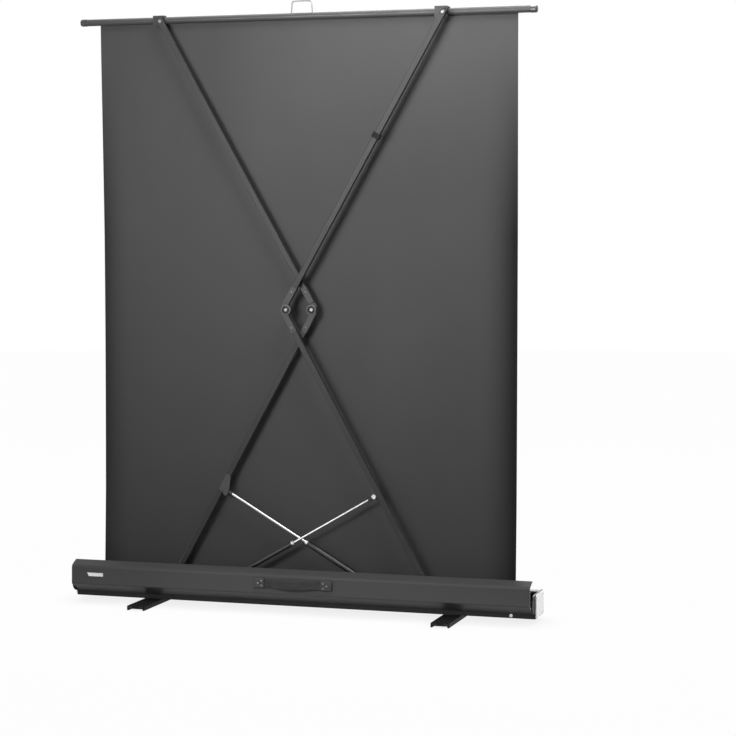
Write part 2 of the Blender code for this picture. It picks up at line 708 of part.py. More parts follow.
def build_arm_bracket(name, side, layer):
    """Upright bracket on the case floor and the rivet that the lower arm turns on."""
    face = layer - ARM_DEPTH / 2 - GAP
    foot = face - ARM_BRACKET_FOOT
    low = BASE_FLOOR + GAP
    path = [(foot, low), (face, low), (face, ARM_PIVOT_Z + ARM_BRACKET_RISE)]
    bracket = folded_sheet(f"{name}_arm_bracket", path, ARM_BRACKET_LENGTH, ARM_BRACKET_WALL, zinc_steel,
                           side * ARM_PIVOT_X)
    hole = cylinder_mesh("pin_hole", ARM_PIN_RADIUS + PIN_GAP, 6 * ARM_BRACKET_WALL)
    boolean(bracket, hole, location=(0, face - ARM_BRACKET_WALL / 2, ARM_PIVOT_Z), rotation=UPRIGHT_TO_Y)
    start = face - ARM_BRACKET_WALL - GAP
    end = layer + ARM_DEPTH / 2 + GAP
    rivet(f"{name}_arm_pin", None, side * ARM_PIVOT_X, ARM_PIVOT_Z, start, end)


def build_bumper(frame, along):
    """Rubber clip on the upper arm that the folded arm rests against."""
    outer_z = ARM_WIDTH + 2 * GAP + 2 * BUMPER_WALL
    size = (BUMPER_LENGTH, ARM_DEPTH + 2 * GAP + BUMPER_WALL / 2, outer_z)
    clip = place("arm_bumper", block_mesh("clip", size), black_rubber, frame,
                 location=(along * BUMPER_ALONG, BUMPER_WALL / 4, PIN_OFFSET))
    groove = (2 * BUMPER_LENGTH, ARM_DEPTH + 2 * GAP, ARM_WIDTH + 2 * GAP)
    boolean(clip, block_mesh("groove", groove), location=(0, -BUMPER_WALL / 4, 0))


# Top bar

def build_bar():
    bar_axis = pivot("bar_pivot", (TOP_PIVOT_X, LEFT_LAYER_Y, TOP_PIVOT_Z))
    at = Vector((-TOP_PIVOT_X, BAR_Y - LEFT_LAYER_Y, BAR_ABOVE_PIVOT))
    inner = BAR_RADIUS - BAR_WALL
    tube_length = BAR_LENGTH - 2 * BAR_CAP_LENGTH - 2 * GAP
    ring = [circle((0, 0), BAR_RADIUS), circle((0, 0), inner)]
    bar = place("top_bar", smooth(slab("bar", ring, tube_length, "X")), black_paint, bar_axis, at)
    for sign in (-1, 1):
        hole = cylinder_mesh("pull_hole", PULL_WIRE + PIN_GAP, BAR_RADIUS)
        boolean(bar, hole, location=(sign * PULL_HOLE_X, 0, BAR_RADIUS))
    cap_radius = BAR_RADIUS + BAR_CAP_LIP
    spigot = inner - GAP
    shoulder = (BAR_CAP_FLAT + 2 * cap_radius) / 3
    profile = [(0, BAR_CAP_LENGTH), (BAR_CAP_FLAT, BAR_CAP_LENGTH),
               (shoulder, BAR_CAP_LENGTH - BAR_CAP_DOME / 3), (cap_radius, BAR_CAP_LENGTH - BAR_CAP_DOME),
               (cap_radius, 0), (spigot, 0), (spigot, -BAR_SPIGOT), (0, -BAR_SPIGOT)]
    seat = BAR_LENGTH / 2 - BAR_CAP_LENGTH
    for name, side in SIDES.items():
        spot = at + Vector((side * seat, 0, 0))
        turned(f"{name}_bar_cap", profile, black_plastic, parent=bar_axis, location=spot,
               rotation=(0, side * math.pi / 2, 0))
    build_pull(bar_axis, at)
    for name, side in SIDES.items():
        build_top_bracket(name, side, bar_axis, at)


def build_pull(bar_axis, at):
    """Bent wire handle whose legs go into the bar."""
    half = PULL_WIDTH / 2
    foot = half + PULL_SPLAY
    low = BAR_RADIUS - PULL_SUNK
    top = BAR_RADIUS + PULL_HEIGHT - PULL_WIRE
    corners = [(-foot, low), (-half, top), (half, top), (foot, low)]
    path = filleted(corners, (PULL_CORNER, PULL_CORNER), steps=6)
    points = [(x, 0, z) for x, z in path]
    place("pull_handle", rod_mesh("pull", points, PULL_WIRE), bright_steel, bar_axis, at)


def build_top_bracket(name, side, bar_axis, at):
    """Saddle that hooks over the bar, with a lug behind it that the upper arm is riveted to."""
    layer = LAYERS[name] - LEFT_LAYER_Y
    x = side * TOP_PIVOT_X - TOP_PIVOT_X
    bar_y = at.y
    face = layer - ARM_DEPTH / 2 - GAP
    ring = BAR_RADIUS + GAP + TOP_BRACKET_RING
    front = face - TOP_BRACKET_WALL
    loop = arc((bar_y, BAR_ABOVE_PIVOT), ring, TOP_BRACKET_HOOK, 90, 3)
    loop += [(face, BAR_ABOVE_PIVOT + ring), (face, -TOP_BRACKET_DROP), (front, -TOP_BRACKET_DROP),
             (front, TOP_BRACKET_BRIDGE)]
    seat = BAR_RADIUS + GAP
    seat_start = math.degrees(math.asin((TOP_BRACKET_BRIDGE - BAR_ABOVE_PIVOT) / seat))
    loop += arc((bar_y, BAR_ABOVE_PIVOT), seat, seat_start, TOP_BRACKET_HOOK, 12)
    bracket = place(f"{name}_top_bracket", slab("bracket", [loop], TOP_BRACKET_LENGTH, "X"),
                    black_cast, bar_axis, (x + TOP_BRACKET_OFFSET, 0, 0))
    hole = cylinder_mesh("pin_hole", ARM_PIN_RADIUS + PIN_GAP, 4 * TOP_BRACKET_WALL)
    boolean(bracket, hole, location=(-TOP_BRACKET_OFFSET, face, 0), rotation=UPRIGHT_TO_Y)
    end = layer + ARM_DEPTH / 2 + GAP
    profile = stud_profile(front + GAP, end, ARM_PIN_RADIUS, ARM_PIN_HEAD_RADIUS, ARM_PIN_HEAD)
    turned(f"{name}_top_pin", profile, bright_steel, parent=bar_axis, location=(x, 0, 0),
           rotation=UPRIGHT_TO_Y)


# Gas springs

def build_springs(frames):
    for name, side in SIDES.items():
        layer = LAYERS[name]
        lower = frames[f"{name}_lower"]
        along = -side
        tab_x = along * TAB_ALONG
        build_tab(name, side, lower, tab_x)
        tilt = side * LOWER_TILT
        spot = Matrix.Rotation(tilt, 3, "Y") @ Vector((tab_x, 0, -TAB_DROP))
        eye = Vector((side * ARM_PIVOT_X, layer, ARM_PIVOT_Z)) + spot
        anchor = Vector((-side * ANCHOR_X, layer, ANCHOR_Z))
        run = anchor - eye
        reach = run.length
        slope = math.atan2(-run.z, abs(run.x))
        axis = pivot(f"{name}_spring_pivot", eye, along * slope)
        build_rod(name, axis, along)
        build_cylinder(name, axis, along, reach)
        build_anchor(name, anchor)


def build_tab(name, side, lower, tab_x):
    """Plate with the spring's stud: on the back of the left arm, and on the front of the right arm."""
    along = -side
    top = ARM_WIDTH / 2 - ARM_ROUND
    edge = -ARM_WIDTH / 2
    deep = -TAB_DROP - TAB_RIM
    high_end = tab_x + along * TAB_RISE
    low_end = tab_x - along * (TAB_FALL - TAB_LEAN)
    path = [(high_end, top), (high_end, edge), (tab_x + along * TAB_ROUND, deep),
            (tab_x - along * TAB_FALL, deep), (low_end, edge), (low_end, top)]
    loop = filleted(path, (TAB_ROUND, TAB_ROUND, TAB_ROUND, TAB_ROUND))
    face = ARM_DEPTH / 2 + GAP
    place(f"{name}_spring_tab", slab("tab", [loop], TAB_WALL, "Y", side * (face + TAB_WALL / 2)), black_paint,
          lower)
    end = ROD_EYE_DEPTH / 2 + GAP
    profile = stud_profile(GAP - face, end, TAB_PIN_RADIUS, TAB_PIN_HEAD_RADIUS, TAB_PIN_HEAD)
    hollow = end + TAB_PIN_HEAD - TAB_PIN_HOLLOW
    profile[:1] = [(0, hollow), (TAB_PIN_HOLLOW, hollow), (TAB_PIN_HOLLOW, end + TAB_PIN_HEAD)]
    turned(f"{name}_spring_pin", profile, bright_steel, parent=lower, location=(tab_x, 0, -TAB_DROP),
           rotation=(side * math.pi / 2, 0, 0))


def eye_mesh(hole_radius):
    loops = [circle((0, 0), ROD_EYE_RADIUS), circle((0, 0), hole_radius, 16)]
    return slab("eye", loops, ROD_EYE_DEPTH, "Y")


def build_rod(name, axis, along):
    end = ROD_SHOWN + ROD_HIDDEN
    piston = CYLINDER_RADIUS - CYLINDER_WALL - GAP
    eye_edge = ROD_EYE_RADIUS - EYE_BITE
    profile = [(0, end), (piston, end), (piston, end - PISTON_LENGTH), (ROD_RADIUS, end - PISTON_LENGTH),
               (ROD_RADIUS, SOCKET_FAR), (SOCKET_RADIUS, SOCKET_FAR - SOCKET_TAPER),
               (SOCKET_RADIUS, SOCKET_NEAR + SOCKET_TAPER), (ROD_RADIUS, SOCKET_NEAR), (ROD_RADIUS, eye_edge),
               (0, eye_edge)]
    lie_along = (0, along * math.pi / 2, 0)
    rod = turned(f"{name}_spring_rod", profile, bright_steel, parent=axis, rotation=lie_along)
    turn_back = (0, -along * math.pi / 2, 0)
    boolean(rod, eye_mesh(TAB_PIN_RADIUS + PIN_GAP), "UNION", rotation=turn_back)


def build_cylinder(name, axis, along, reach):
    """Hollow cylinder that the rod and piston slide in, with an eye on its closed end."""
    bore = CYLINDER_RADIUS - CYLINDER_WALL
    near = ROD_SHOWN + GLAND_LENGTH + GAP
    tail = reach - CYLINDER_TAIL
    neck = ROD_EYE_DEPTH / 2 - GAP
    eye_edge = reach - ROD_EYE_RADIUS + EYE_BITE
    floor = tail - 2 * CYLINDER_WALL
    profile = [(0, eye_edge), (neck, eye_edge), (neck, tail + CYLINDER_TAPER),
               (CYLINDER_RADIUS - CYLINDER_TAPER / 2, tail), (CYLINDER_RADIUS, tail - CYLINDER_TAPER),
               (CYLINDER_RADIUS, near), (bore, near), (bore, floor), (0, floor)]
    tube = turned(f"{name}_spring_cylinder", profile, black_paint, parent=axis,
                  rotation=(0, along * math.pi / 2, 0))
    eye = cylinder_mesh("eye", ROD_EYE_RADIUS, ROD_EYE_DEPTH)
    boolean(tube, eye, "UNION", location=(0, 0, reach), rotation=UPRIGHT_TO_Y)
    lip = CYLINDER_RADIUS
    hole = ROD_RADIUS + PIN_GAP
    gland = [(lip - GLAND_LIP, near - GAP), (lip, near - GAP - GLAND_LIP), (lip, ROD_SHOWN + GLAND_LIP),
             (lip - GLAND_LIP, ROD_SHOWN), (hole, ROD_SHOWN), (hole, near - GAP)]
    turned(f"{name}_spring_gland", gland, bright_steel, closed=True, parent=axis,
           rotation=(0, along * math.pi / 2, 0))


def build_anchor(name, anchor):
    """Upright bracket on the case floor that the spring's lower eye bears on."""
    low = BASE_FLOOR + GAP
    face = anchor.y - ROD_EYE_DEPTH / 2 - GAP
    path = [(face - ANCHOR_FOOT, low), (face, low), (face, anchor.z + ROD_EYE_RADIUS)]
    folded_sheet(f"{name}_spring_anchor", path, ANCHOR_LENGTH, ANCHOR_WALL, zinc_steel, anchor.x)


# Feet

def foot_outline():
    """Extruded section below the pivot: a thick web on two ribs."""
    half = FOOT_WIDTH / 2
    inner = half - FOOT_RIB
    path = [(-half, -FOOT_HEIGHT), (-half, 0), (half, 0), (half, -FOOT_HEIGHT)]
    loop = filleted(path, (FOOT_ROUND, FOOT_ROUND))
    loop += [(inner, -FOOT_HEIGHT), (inner, -FOOT_WEB), (-inner, -FOOT_WEB), (-inner, -FOOT_HEIGHT)]
    return loop


def build_feet():
    top = FOOT_HEIGHT
    land = FOOT_BOLT_LAND / 2
    width = FOOT_WIDTH / 2 - FOOT_WALL - land
    for name, side in SIDES.items():
        axis = pivot(f"{name}_foot_pivot", (side * FOOT_X, 0, top))
        foot = place(f"{name}_foot", slab("foot", [foot_outline()], FOOT_LENGTH, "Y"), black_paint, axis)
        for sign in (-1, 1):
            center = (sign * (land + width / 2), -FOOT_WEB / 2)
            tunnel = round_box(center, width, FOOT_WEB - 2 * FOOT_WALL, FOOT_WALL / 2)
            boolean(foot, slab("tunnel", [tunnel], FOOT_LENGTH + FOOT_WALL, "Y"))
        boolean(foot, cylinder_mesh("bolt_hole", FOOT_BOLT_RADIUS + PIN_GAP, 4 * FOOT_WEB))
        head_top = FOOT_HEIGHT - FOOT_WEB - GAP
        head_low = head_top - FOOT_BOLT_HEAD
        nut_low = BASE_FLOOR + GAP
        nut_top = nut_low + FOOT_NUT_HEIGHT
        profile = [(0, nut_top), (FOOT_NUT_RADIUS - FOOT_BOLT_CHAMFER, nut_top),
                   (FOOT_NUT_RADIUS, nut_top - FOOT_BOLT_CHAMFER), (FOOT_NUT_RADIUS, nut_low),
                   (FOOT_BOLT_RADIUS, nut_low), (FOOT_BOLT_RADIUS, head_top),
                   (FOOT_BOLT_HEAD_RADIUS, head_top), (FOOT_BOLT_HEAD_RADIUS, head_low + FOOT_BOLT_CHAMFER),
                   (FOOT_BOLT_HEAD_RADIUS - FOOT_BOLT_CHAMFER, head_low), (0, head_low)]
        turned(f"{name}_foot_bolt", profile, bright_steel, location=(side * FOOT_X, 0, 0))


clear_scene()
parts = new_collection("pull_up_projection_screen")
cutters = new_collection("helpers")

black_aluminium = finish("black_aluminium", (0.045, 0.045, 0.047), 0.5, 0.3)
black_paint = finish("black_paint", (0.035, 0.035, 0.036), 0.45)
black_plastic = finish("black_plastic", (0.012, 0.012, 0.012), 0.5)
black_cast = finish("black_cast", (0.020, 0.020, 0.021), 0.5)
black_rubber = finish("black_rubber", (0.015, 0.015, 0.015), 0.8)
grey_cast = finish("grey_cast", (0.110, 0.110, 0.115), 0.5, 0.2)
pale_plastic = finish("pale_plastic", (0.800, 0.800, 0.800), 0.4)
grey_fabric = finish("grey_fabric", (0.075, 0.075, 0.078), 0.85)
white_fabric = finish("white_fabric", (0.850, 0.850, 0.850), 0.9)
bare_aluminium = finish("bare_aluminium", (0.650, 0.650, 0.660), 0.35, 1.0)
bright_steel = finish("bright_steel", (0.700, 0.700, 0.710), 0.22, 1.0)
zinc_steel = finish("zinc_steel", (0.550, 0.550, 0.560), 0.4, 1.0)

build_case()
build_handle()
build_roller()
build_fabric()
arm_frames = build_arms()
build_bar()
build_springs(arm_frames)
build_feet()
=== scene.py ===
"""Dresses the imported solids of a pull-up projection screen: fabric, strap, fittings, finishes and stage."""

import json
import math

import bmesh
import bpy
from bpy.props import FloatProperty, FloatVectorProperty, IntProperty, PointerProperty
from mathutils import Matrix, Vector

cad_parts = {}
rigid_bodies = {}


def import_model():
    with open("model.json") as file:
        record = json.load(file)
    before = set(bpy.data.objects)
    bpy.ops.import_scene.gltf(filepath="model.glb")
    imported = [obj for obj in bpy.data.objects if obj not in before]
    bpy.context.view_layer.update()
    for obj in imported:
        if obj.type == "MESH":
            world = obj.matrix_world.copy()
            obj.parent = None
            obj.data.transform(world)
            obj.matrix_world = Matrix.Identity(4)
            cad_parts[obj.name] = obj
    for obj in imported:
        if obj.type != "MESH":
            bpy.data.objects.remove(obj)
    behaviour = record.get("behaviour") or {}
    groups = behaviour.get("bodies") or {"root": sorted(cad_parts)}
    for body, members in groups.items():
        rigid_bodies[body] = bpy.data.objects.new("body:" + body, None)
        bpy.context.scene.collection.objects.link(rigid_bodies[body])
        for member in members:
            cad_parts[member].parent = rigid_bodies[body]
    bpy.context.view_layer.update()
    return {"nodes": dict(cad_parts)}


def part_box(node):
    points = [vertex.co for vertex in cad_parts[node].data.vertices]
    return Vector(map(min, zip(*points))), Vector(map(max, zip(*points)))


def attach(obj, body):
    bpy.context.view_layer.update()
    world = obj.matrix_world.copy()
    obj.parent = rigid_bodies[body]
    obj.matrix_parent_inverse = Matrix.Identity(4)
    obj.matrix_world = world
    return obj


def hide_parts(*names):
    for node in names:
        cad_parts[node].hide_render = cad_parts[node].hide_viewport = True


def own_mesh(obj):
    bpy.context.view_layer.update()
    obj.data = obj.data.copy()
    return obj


bl_info = {
    "name": "Pull-up Projection Screen",
    "version": (1, 0, 0),
    "blender": (4, 5, 0),
    "location": "View3D > Sidebar > Screen",
    "description": "Fabric, strap, small fittings and finishes for a floor-standing projection screen",
    "category": "Object",
}

for start_object in list(bpy.data.objects):
    bpy.data.objects.remove(start_object)
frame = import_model()
NODES = frame["nodes"]
FABRIC_LOW, FABRIC_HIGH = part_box("fabric_sheet")
STRAP_LOW, STRAP_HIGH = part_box("handle_strap")
SIDES = {"left": 1, "right": -1}
ARM_PARTS = ("lower", "upper")

# Directions, and the turn that stands a flat grid upright
UPWARDS = (0, 0, 1)
BACKWARDS = (0, 1, 0)
FORWARDS = (0, -1, 0)
UPRIGHT = (math.pi / 2, 0, 0)

# Choosing faces and points
FACING = 0.9            # cosine past which a face looks along a direction
SHEET_FACING = 0.5      # cosine below which a face of a sheet belongs to its edge
ON_TOP = 0.9            # share of a thickness above which a point lies on the top
TOUCH = 0.0001          # distance within which a point lies on a face

# Rounding
SMOOTH_ANGLE = math.radians(32)
BEVEL_STEPS = 2

# Fabric
# The two shares below also bound the painted shade on the backing's side edges: full up to EDGE_FULL, gone
# above EDGE_HELD
EDGE_HELD = 0.93        # share of the height above which the side edges lie flat
EDGE_FULL = 0.62        # share of the height up to which they curl in full
CURL_START = 6.0        # how fast the curl grows above the lower edge
WAVE_TURN = 9.0         # angle of the long waves for each metre across
WAVE_LEAN = 2.0         # angle by which the waves lean over the whole height

# Strap
BOW_POWER = 1.5         # how gently the bow lifts off beside the caps

# Heads of screws and rivets in shares of their radius: the height, and the crown's steps as inset and rise
PAN_HEAD = (0.75, ((0.22, 0.18), (0.30, 0.08)))
FLAT_HEAD = (0.18, ((0.10, 0.05),))
RIVET_HEAD = (0.30, ((0.22, 0.16), (0.28, 0.08), (0.12, -0.25)))
SCREW_SIDES = 24
RIVET_SIDES = 20

# Cross recess in shares of the radius: its length and width, and for each head the cutter's level and depth
RECESS_LENGTH = 1.1
RECESS_WIDTH = 0.24
PAN_RECESS = (1.1, 0.6)
FLAT_RECESS = (0.3, 0.4)

# Places of the screws: those of a handle cap are outwards and upwards from its middle
CAP_SCREWS = ((-0.0085, -0.0068), (-0.0085, 0.0068), (0.0025, 0.0))
SCREW_INSET = 0.009     # distance of an end plate's screws from its edges
FLUSH_SEAT = 0.2        # how deep they sit, in shares of their radius
BRACKET_SCREW_X = 0.009     # distance of a bracket's screws from its middle
BRACKET_SCREW_Y = 0.003     # how far they stand behind the bar's middle

# Rings round an elbow's pin
RING_SIDES = 48
RING_BEVEL = 0.35       # share of the ring's thickness
WASHER_WALL = 0.0009
RIM_WALL = 0.0013
PIN_CLEARANCE = 0.0003
RIM_CLEARANCE = 0.0002

# Foot plugs
PLUG_BEVEL = 0.0005
PLUG_RIM = 0.0009
PLUG_DISH = 0.0006
PLUG_SET_IN = 0.0002    # how far a plug sits inside the foot's end

# Blank plate, and the wall of the back cover that carries it
PLATE_WALL = 0.0008
PLATE_BEVEL = 0.5       # share of the plate's thickness
PLATE_RIM = 0.0012
PLATE_DISH = 0.3        # share of the plate's thickness
PLATE_GAP = 0.0002
PLATE_RISE = 0.0865     # height of the plate's middle
WALL_FOOT = 0.0565      # height where the wall stands out furthest
WALL_LEAN = math.atan2(0.0015, 0.055)

# Finishes
NOISE_LOW, NOISE_HIGH = 0.3, 0.7    # range that noise mostly keeps to
DRAWN = (0.02, 1, 1)    # stretch of the grain along a drawn tube
EYE_REACH = 0.0206      # how far a spring's black eye reaches from its pin
EYE_BLUR = 0.0002
EYE_ROUGHNESS = 0.5
ROD_ROUGHNESS = 0.2
ROD_STREAKS = (0.75, 0.85)          # shares of the steel's tone in a rod's streaks
SAWN_DEPTH = 0.0001     # how far the bare metal shows from a sawn end
BACK_DRIFT = 0.06       # how far the tone of the fabric's backing drifts
WEAVE_SHADE = 0.25      # how far the weave darkens the backing
# Painted shade: the backing darkens towards its side edges, standing in for the shade of the edges curling away
# from the light
PAINTED_SHADE_POWER = 2.0        # how late the backing darkens towards its side edges
BACK_ROUGHNESS = (0.62, 0.50)       # between the threads and on them
FRONT_ROUGHNESS = (0.95, 0.82)

# Grains that several finishes share
COATED = {"specular": 0.12, "drift": 0.08, "drift_scale": 6.0, "grain": 900.0, "stretch": (0.25, 1, 1)}
MOULDED = {"drift_scale": 20.0, "grain": 1200.0}
RUBBERY = {"drift": 0.2, "drift_scale": 30.0, "grain": 1500.0}
CAST = {"drift_scale": 30.0, "grain": 650.0}
BARE_STEEL = {"metallic": 1.0, "drift_scale": 60.0, "grain": 800.0}

# The finish of each solid, apart from the arms, the rods and the fabric's own pieces
NODE_FINISH = {
    "case_coat": ("case_base",),
    "shell_coat": ("case_back_shell", "case_front_shell"),
    "end_cap_moulding": ("left_end_cap", "right_end_cap", "roller_spring_plug", "roller_idle_plug"),
    "bar_cap": ("left_bar_cap", "right_bar_cap"),
    "handle_cap": ("left_handle_cap", "right_handle_cap"),
    "end_plate_moulding": ("left_end_plate", "right_end_plate", "case_plug"),
    "bumper_rubber": ("arm_bumper",),
    "zinc_plate": ("left_roller_bracket", "right_roller_bracket", "left_arm_bracket", "right_arm_bracket",
                   "left_spring_anchor", "right_spring_anchor", "left_foot_bolt", "right_foot_bolt"),
    "dull_steel": ("left_elbow_pin", "right_elbow_pin", "left_top_pin", "right_top_pin"),
    "pin_steel": ("left_arm_pin", "right_arm_pin", "left_spring_pin", "right_spring_pin",
                  "left_spring_gland", "right_spring_gland", "roller_spring"),
    "roller_tube": ("roller_tube",),
    "bar_anodised": ("top_bar",),
    "foot_coat": ("left_foot", "right_foot"),
    "spring_paint": ("left_spring_cylinder", "right_spring_cylinder"),
    "elbow_casting": ("left_lower_elbow", "right_lower_elbow", "left_upper_elbow", "right_upper_elbow"),
    "tab_paint": ("left_spring_tab", "right_spring_tab"),
    "bracket_casting": ("left_top_bracket", "right_top_bracket"),
    "pull_wire": ("pull_handle",),
}

# Area lights: the property of their power, place, target, size, and the angle they open to in degrees
LIGHTS = {
    "key_light": ("key", (0.5, 2.6, 1.4), (-0.3, 0, 1.74), (1.0, 0.9), 88),
    "top_light": ("top", (-0.9, 1.1, 3.0), (0, 0, 0.9), (1.0, 0.8), 180),
    "strip_light": ("strip", (0, 1.4, 0.75), (0, 0.67, 0.02), (1.9, 0.2), 44),
    "left_light": ("side", (1.9, 0, 0.3), (0.7, 0, 0.05), (0.3, 0.3), 36),
    "right_light": ("side", (-1.9, 0, 0.3), (-0.7, 0, 0.05), (0.3, 0.3), 36),
    "corner_light": ("corner", (-0.55, 1.5, 2.1), (-0.38, 0, 1.76), (0.7, 0.2), 32),
    "fill_light": ("fill", (1.2, 2.3, 0.55), (0, 0, 0.55), (0.5, 0.4), 56),
    "bar_light": ("bar", (0, -0.05, 2.3), (0, 0, 1.77), (1.5, 0.12), 60),
    "front_light": ("front", (0.8, -4.2, 2.6), (0, 0, 0.9), (1.8, 1.4), 180),
}

# Floor
WHITE = (1, 1, 1, 1)
FLOOR_SIDES = 96
FLOOR_RADIUS = 14.0
FLOOR_ROUGHNESS = 0.9
FLOOR_GLOW = 0.985      # share of the floor that is plain white to the camera
# Painted shadow: ambient occlusion darkens the floor's white glow near the feet and the case
CONTACT_REACH = 0.08    # reach of the shadow under the feet and the case
CONTACT_SHADE = 0.84    # its darkest tone


# Properties

def length(name, description, default):
    return FloatProperty(name=name, description=description, default=default, min=0.0, unit="LENGTH",
                         precision=4)


def angle(name, description, degrees):
    return FloatProperty(name=name, description=description, default=math.radians(degrees), subtype="ANGLE")


def power(name, description, default):
    return FloatProperty(name=name, description=description, default=default, min=0.0, subtype="POWER")


def cells(name, description, default, least):
    return IntProperty(name=name, description=description, default=default, min=least)


def colour(name, description, default):
    return FloatVectorProperty(name=name, description=description, default=default, size=3, min=0.0,
                               max=1.0, subtype="COLOR")


class SCREEN_PG_fabric(bpy.types.PropertyGroup):
    wall: length("Thickness", "Thickness of the projection fabric", 0.0005)
    edge_bow: length("Edge Bow", "How far the slack left edge draws in at half height", 0.0044)
    edge_zone: length("Edge Zone", "Width of the strip beside the slack edge that is drawn in", 0.22)
    ripple: length("Ripple", "Depth of the long shallow waves in the hanging cloth", 0.0006)
    curl: length("Edge Curl", "How far the cut side edges curl towards the viewing side", 0.0066)
    curl_zone: length("Curl Zone", "Width of the strip along a side edge that curls", 0.06)
    crowd: FloatProperty(name="Crowding", description="How much closer the cells lie towards the side edges",
                         default=1.36, min=1.0, max=1.45)
    border: length("Border", "Black border at the sides and top of the viewing side", 0.04)
    drop: length("Black Drop", "Black strip between the case and the viewing area", 0.10)
    # Painted shade: the darker strip along the backing's side edges stands in for the shade of the curled
    # edges, and reaches further on the right, away from the light
    painted_edge_shade: length("Edge Shade", "Width of the darker strip along the side edges of the backing", 0.105)
    painted_shade_shift: length("Edge Shade Shift", "How much further the darker strip reaches on the right side", 0.010)
    painted_shade_share: FloatProperty(name="Edge Shade Share", default=0.96, min=0.0, max=1.0,
                              description="How far the backing darkens at its side edges")
    weave: length("Weave", "Distance between threads", 0.0012)
    columns: cells("Columns", "Cells across the fabric", 64, 8)
    rows: cells("Rows", "Cells up the fabric", 84, 8)
    back: colour("Back", "Dark backing of the fabric", (0.078, 0.078, 0.079))
    front: colour("Front", "Matte white viewing side", (0.80, 0.80, 0.79))
    edging: colour("Edging", "Black border and cut edge", (0.012, 0.012, 0.012))


class SCREEN_PG_handle(bpy.types.PropertyGroup):
    wall: length("Strap Thickness", "Thickness of the carry strap", 0.003)
    grip: length("Grip Length", "Length of the ribbed middle of the strap", 0.092)
    rib: length("Rib Height", "Height of the grip's ribs", 0.0006)
    columns: cells("Columns", "Cells along the strap", 96, 24)
    rows: cells("Rows", "Cells across the strap", 6, 4)
    rubber: colour("Rubber", "Soft black of the strap", (0.048, 0.048, 0.049))


class SCREEN_PG_fittings(bpy.types.PropertyGroup):
    screw: length("Screw Head", "Radius of the case's screw heads", 0.0030)
    rivet: length("Rivet Head", "Radius of the blind rivets in the elbow fittings", 0.0026)
    rivet_back: length("Rivet Setback", "Distance from an elbow's pin to the rivet of its fitting", 0.054)
    washer: length("Washer", "Outer radius of the dark washer round an elbow's pin", 0.0112)
    rim: length("Elbow Rim", "Outer radius of the raised rim round an elbow's pin", 0.0157)
    plug_width: length("Plug Width", "Width of a plug in a foot's tunnel", 0.0146)
    plug_height: length("Plug Height", "Height of a plug in a foot's tunnel", 0.0053)
    plug_depth: length("Plug Depth", "How far a plug goes into its tunnel", 0.006)
    plug_place: length("Plug Place", "Distance of a tunnel from the foot's middle line", 0.0175)
    plug_drop: length("Plug Drop", "Depth of a tunnel's middle below the foot's top", 0.00485)
    plate_width: length("Plate Width", "Width of the blank plate on the case", 0.052)
    plate_height: length("Plate Height", "Height of the blank plate on the case", 0.0105)
    plate_slant: length("Plate Slant", "How far the plate's outer end leans", 0.006)
    plate_place: length("Plate Place", "Distance of the blank plate from the middle of the case", 0.628)
    plate: colour("Plate", "Satin silver of the blank plate", (0.72, 0.72, 0.73))


class SCREEN_PG_finish(bpy.types.PropertyGroup):
    case: colour("Case", "Satin black coat of the case", (0.073, 0.073, 0.075))
    sawn: colour("Sawn Ends", "Bare metal at the sawn ends of the case", (0.42, 0.42, 0.42))
    base: colour("Base", "Matte black coat of the case's floor and the feet", (0.021, 0.021, 0.022))
    arm: colour("Arms", "Dark anodised arms", (0.045, 0.045, 0.047))
    elbow: colour("Elbows", "Grey cast elbow fittings", (0.052, 0.052, 0.054))
    bar: colour("Top Bar", "Dark grey anodised top bar", (0.046, 0.046, 0.048))
    moulded: colour("Mouldings", "Black moulded plastic", (0.010, 0.010, 0.010))
    pale: colour("Pale Mouldings", "Pale moulded plastic", (0.82, 0.82, 0.82))
    steel: colour("Steel", "Bright steel of rods and studs", (0.46, 0.46, 0.47))
    zinc: colour("Zinc", "Zinc plate of brackets, bolts and flush screws", (0.34, 0.34, 0.35))
    dull: colour("Dull Steel", "Dull heads of the pins, rivets and small screws", (0.16, 0.16, 0.16))
    roller: colour("Roller", "Bare tube of the roller", (0.50, 0.50, 0.51))
    wire: colour("Pull Wire", "Wire of the pull handle", (0.30, 0.30, 0.30))


class SCREEN_PG_stage(bpy.types.PropertyGroup):
    place: FloatVectorProperty(name="Camera Place", description="Where the camera stands", size=3,
                               default=(-2.0042, 5.8565, 1.1071), subtype="TRANSLATION")
    yaw: angle("Camera Yaw", "How far the camera turns from straight ahead", 17.147)
    pitch: angle("Camera Pitch", "How far the camera looks down", 3.651)
    lens: FloatProperty(name="Lens", description="Focal length in millimetres", default=103.36, min=10.0,
                        unit="CAMERA")
    key: power("Key Light", "Power of the light before the arms", 20.5)
    top: power("Top Light", "Power of the light above the screen", 32.0)
    strip: power("Strip Light", "Power of the low strip light before the case", 4.6)
    side: power("Side Light", "Power of the low light on each end", 0.5)
    corner: power("Corner Light", "Power of the light on the fabric's upper right corner", 0.8)
    fill: power("Fill Light", "Power of the low light from the left", 0.45)
    bar: power("Bar Light", "Power of the light above the top bar", 2.8)
    front: power("Front Light", "Power of the light on the viewing side", 178.0)
    sky: FloatProperty(name="Sky", description="Strength of the even light from all round", default=0.06,
                       min=0.0)
    floor: colour("Floor", "Pale floor", (0.25, 0.25, 0.25))


# Edit-mode helpers

def start(name, add, **how):
    """Add a primitive with nothing else selected, and name it."""
    bpy.ops.object.select_all(action="DESELECT")
    add(**how)
    piece = bpy.context.active_object
    piece.name = name
    piece.data.name = name
    return piece


def pick(piece, test):
    """Go to edit mode with only the faces selected whose middle and normal pass the test."""
    bpy.ops.object.mode_set(mode="EDIT")
    bpy.ops.mesh.select_mode(type="FACE")
    bpy.ops.mesh.select_all(action="DESELECT")
    work = bmesh.from_edit_mesh(piece.data)
    for face in work.faces:
        face.select_set(test(face.calc_center_median(), face.normal))
    bmesh.update_edit_mesh(piece.data)


